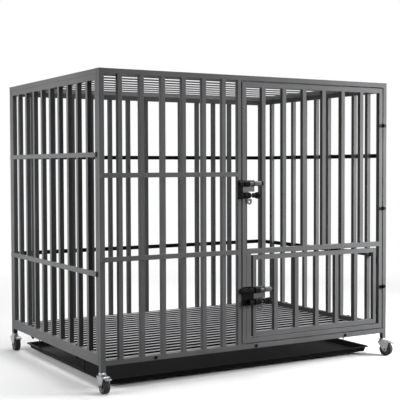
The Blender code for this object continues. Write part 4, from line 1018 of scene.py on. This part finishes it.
def pale_floor(colour, bounce):
    """Floor that takes shadows near the cage, is white far from it and lights the cage little."""
    material = bpy.data.materials.new("pale_floor")
    material.use_nodes = True
    nodes = material.node_tree.nodes
    links = material.node_tree.links
    shader = nodes["Principled BSDF"]
    shader.inputs["Base Color"].default_value = (*colour, 1.0)
    shader.inputs["Roughness"].default_value = FLOOR_ROUGHNESS
    white = nodes.new("ShaderNodeEmission")
    white.inputs["Color"].default_value = WHITE
    place = nodes.new("ShaderNodeTexCoord")
    reach = nodes.new("ShaderNodeVectorMath")
    reach.operation = "LENGTH"
    links.new(place.outputs["Object"], reach.inputs[0])
    fade = nodes.new("ShaderNodeMapRange")
    fade.interpolation_type = "SMOOTHSTEP"
    fade.inputs["From Min"].default_value = FLOOR_FADE[0]
    fade.inputs["From Max"].default_value = FLOOR_FADE[1]
    links.new(reach.outputs["Value"], fade.inputs["Value"])
    shown = mixed(
        nodes, links, fade.outputs["Result"], shader.outputs["BSDF"], white.outputs["Emission"]
    )
    dim = nodes.new("ShaderNodeBsdfDiffuse")
    dim.inputs["Color"].default_value = (*(channel * bounce for channel in colour), 1.0)
    result = mixed(nodes, links, seen_rays(nodes, links), dim.outputs["BSDF"], shown)
    links.new(result, nodes["Material Output"].inputs["Surface"])
    return material


def studio_world(strength):
    """White behind the object and in its reflections, and an even light of its own strength."""
    world = bpy.data.worlds.new("studio")
    bpy.context.scene.world = world
    world.use_nodes = True
    nodes = world.node_tree.nodes
    links = world.node_tree.links
    even = nodes["Background"]
    even.inputs["Color"].default_value = WHITE
    even.inputs["Strength"].default_value = strength
    white = nodes.new("ShaderNodeBackground")
    white.inputs["Color"].default_value = WHITE
    white.inputs["Strength"].default_value = 1.0
    result = mixed(
        nodes, links, seen_rays(nodes, links), even.outputs["Background"],
        white.outputs["Background"],
    )
    links.new(result, nodes["World Output"].inputs["Surface"])


def stand_camera(lens):
    """Stands the camera at the photograph's place and angle."""
    camera = bpy.data.cameras.new("camera")
    camera.lens = lens
    camera.sensor_width = SENSOR_WIDTH
    stand = bpy.data.objects.new("camera", camera)
    bpy.context.scene.collection.objects.link(stand)
    stand.location = CORNER + CAMERA_PLACE
    turn, tilt = math.radians(CAMERA_TURN), math.radians(CAMERA_TILT)
    level = math.cos(tilt)
    aim = Vector((math.sin(turn) * level, math.cos(turn) * level, math.sin(tilt)))
    roll = Matrix.Rotation(math.radians(CAMERA_ROLL), 3, "Z")
    stand.rotation_euler = (aim.to_track_quat("-Z", "Y").to_matrix() @ roll).to_euler()
    bpy.context.scene.camera = stand


class CAGE_OT_stage(bpy.types.Operator):
    """Lays the floor, sets the soft lights and stands the camera at the photograph's angle."""

    bl_idname = "cage.stage"
    bl_label = "Stage"

    def execute(self, context):
        settings = context.scene.cage_stage
        start_fresh()
        bpy.ops.mesh.primitive_plane_add(size=FLOOR_SIDE, location=(0.0, 0.0, 0.0))
        floor = settle("floor")
        floor.data.materials.append(pale_floor(settings.floor_colour, settings.floor_bounce))
        studio_world(settings.sky)
        for name, (place, target, size, spread) in LAMPS.items():
            soft_lamp(name, place, target, size, spread, getattr(settings, name))
        stand_camera(settings.lens)
        context.scene.view_settings.view_transform = "Standard"
        return {"FINISHED"}


OPERATORS = (
    CAGE_OT_panels, CAGE_OT_doors, CAGE_OT_weld_beads, CAGE_OT_bolts, CAGE_OT_hinges,
    CAGE_OT_gap_shade_strip, CAGE_OT_latches, CAGE_OT_casters, CAGE_OT_tray, CAGE_OT_stage,
)


class CAGE_PT_sidebar(bpy.types.Panel):
    """Lists the cage's groups of pieces and their settings."""

    bl_idname = "CAGE_PT_sidebar"
    bl_label = "Dog cage"
    bl_space_type = "VIEW_3D"
    bl_region_type = "UI"
    bl_category = "Cage"

    def draw(self, context):
        for operator in OPERATORS:
            self.layout.operator(operator.bl_idname)
        for settings in ("cage_coats", "cage_hardware", "cage_stage"):
            group = getattr(context.scene, settings)
            for name in group.bl_rna.properties.keys():
                if name not in ("rna_type", "name"):
                    self.layout.prop(group, name)


CLASSES = (CoatSettings, HardwareSettings, StageSettings, *OPERATORS, CAGE_PT_sidebar)


def register():
    for item in CLASSES:
        bpy.utils.register_class(item)
    bpy.types.Scene.cage_coats = PointerProperty(type=CoatSettings)
    bpy.types.Scene.cage_hardware = PointerProperty(type=HardwareSettings)
    bpy.types.Scene.cage_stage = PointerProperty(type=StageSettings)


def unregister():
    del bpy.types.Scene.cage_stage
    del bpy.types.Scene.cage_hardware
    del bpy.types.Scene.cage_coats
    for item in reversed(CLASSES):
        bpy.utils.unregister_class(item)


def main():
    register()
    # Face select mode, so that a disc is extruded as one face
    bpy.context.tool_settings.mesh_select_mode = (False, False, True)
    bpy.ops.cage.panels()
    bpy.ops.cage.doors()
    bpy.ops.cage.weld_beads()
    bpy.ops.cage.bolts()
    bpy.ops.cage.hinges()
    bpy.ops.cage.stop_strip()
    bpy.ops.cage.latches()
    bpy.ops.cage.casters()
    bpy.ops.cage.tray()
    bpy.ops.cage.stage()


if __name__ == "__main__":
    main()
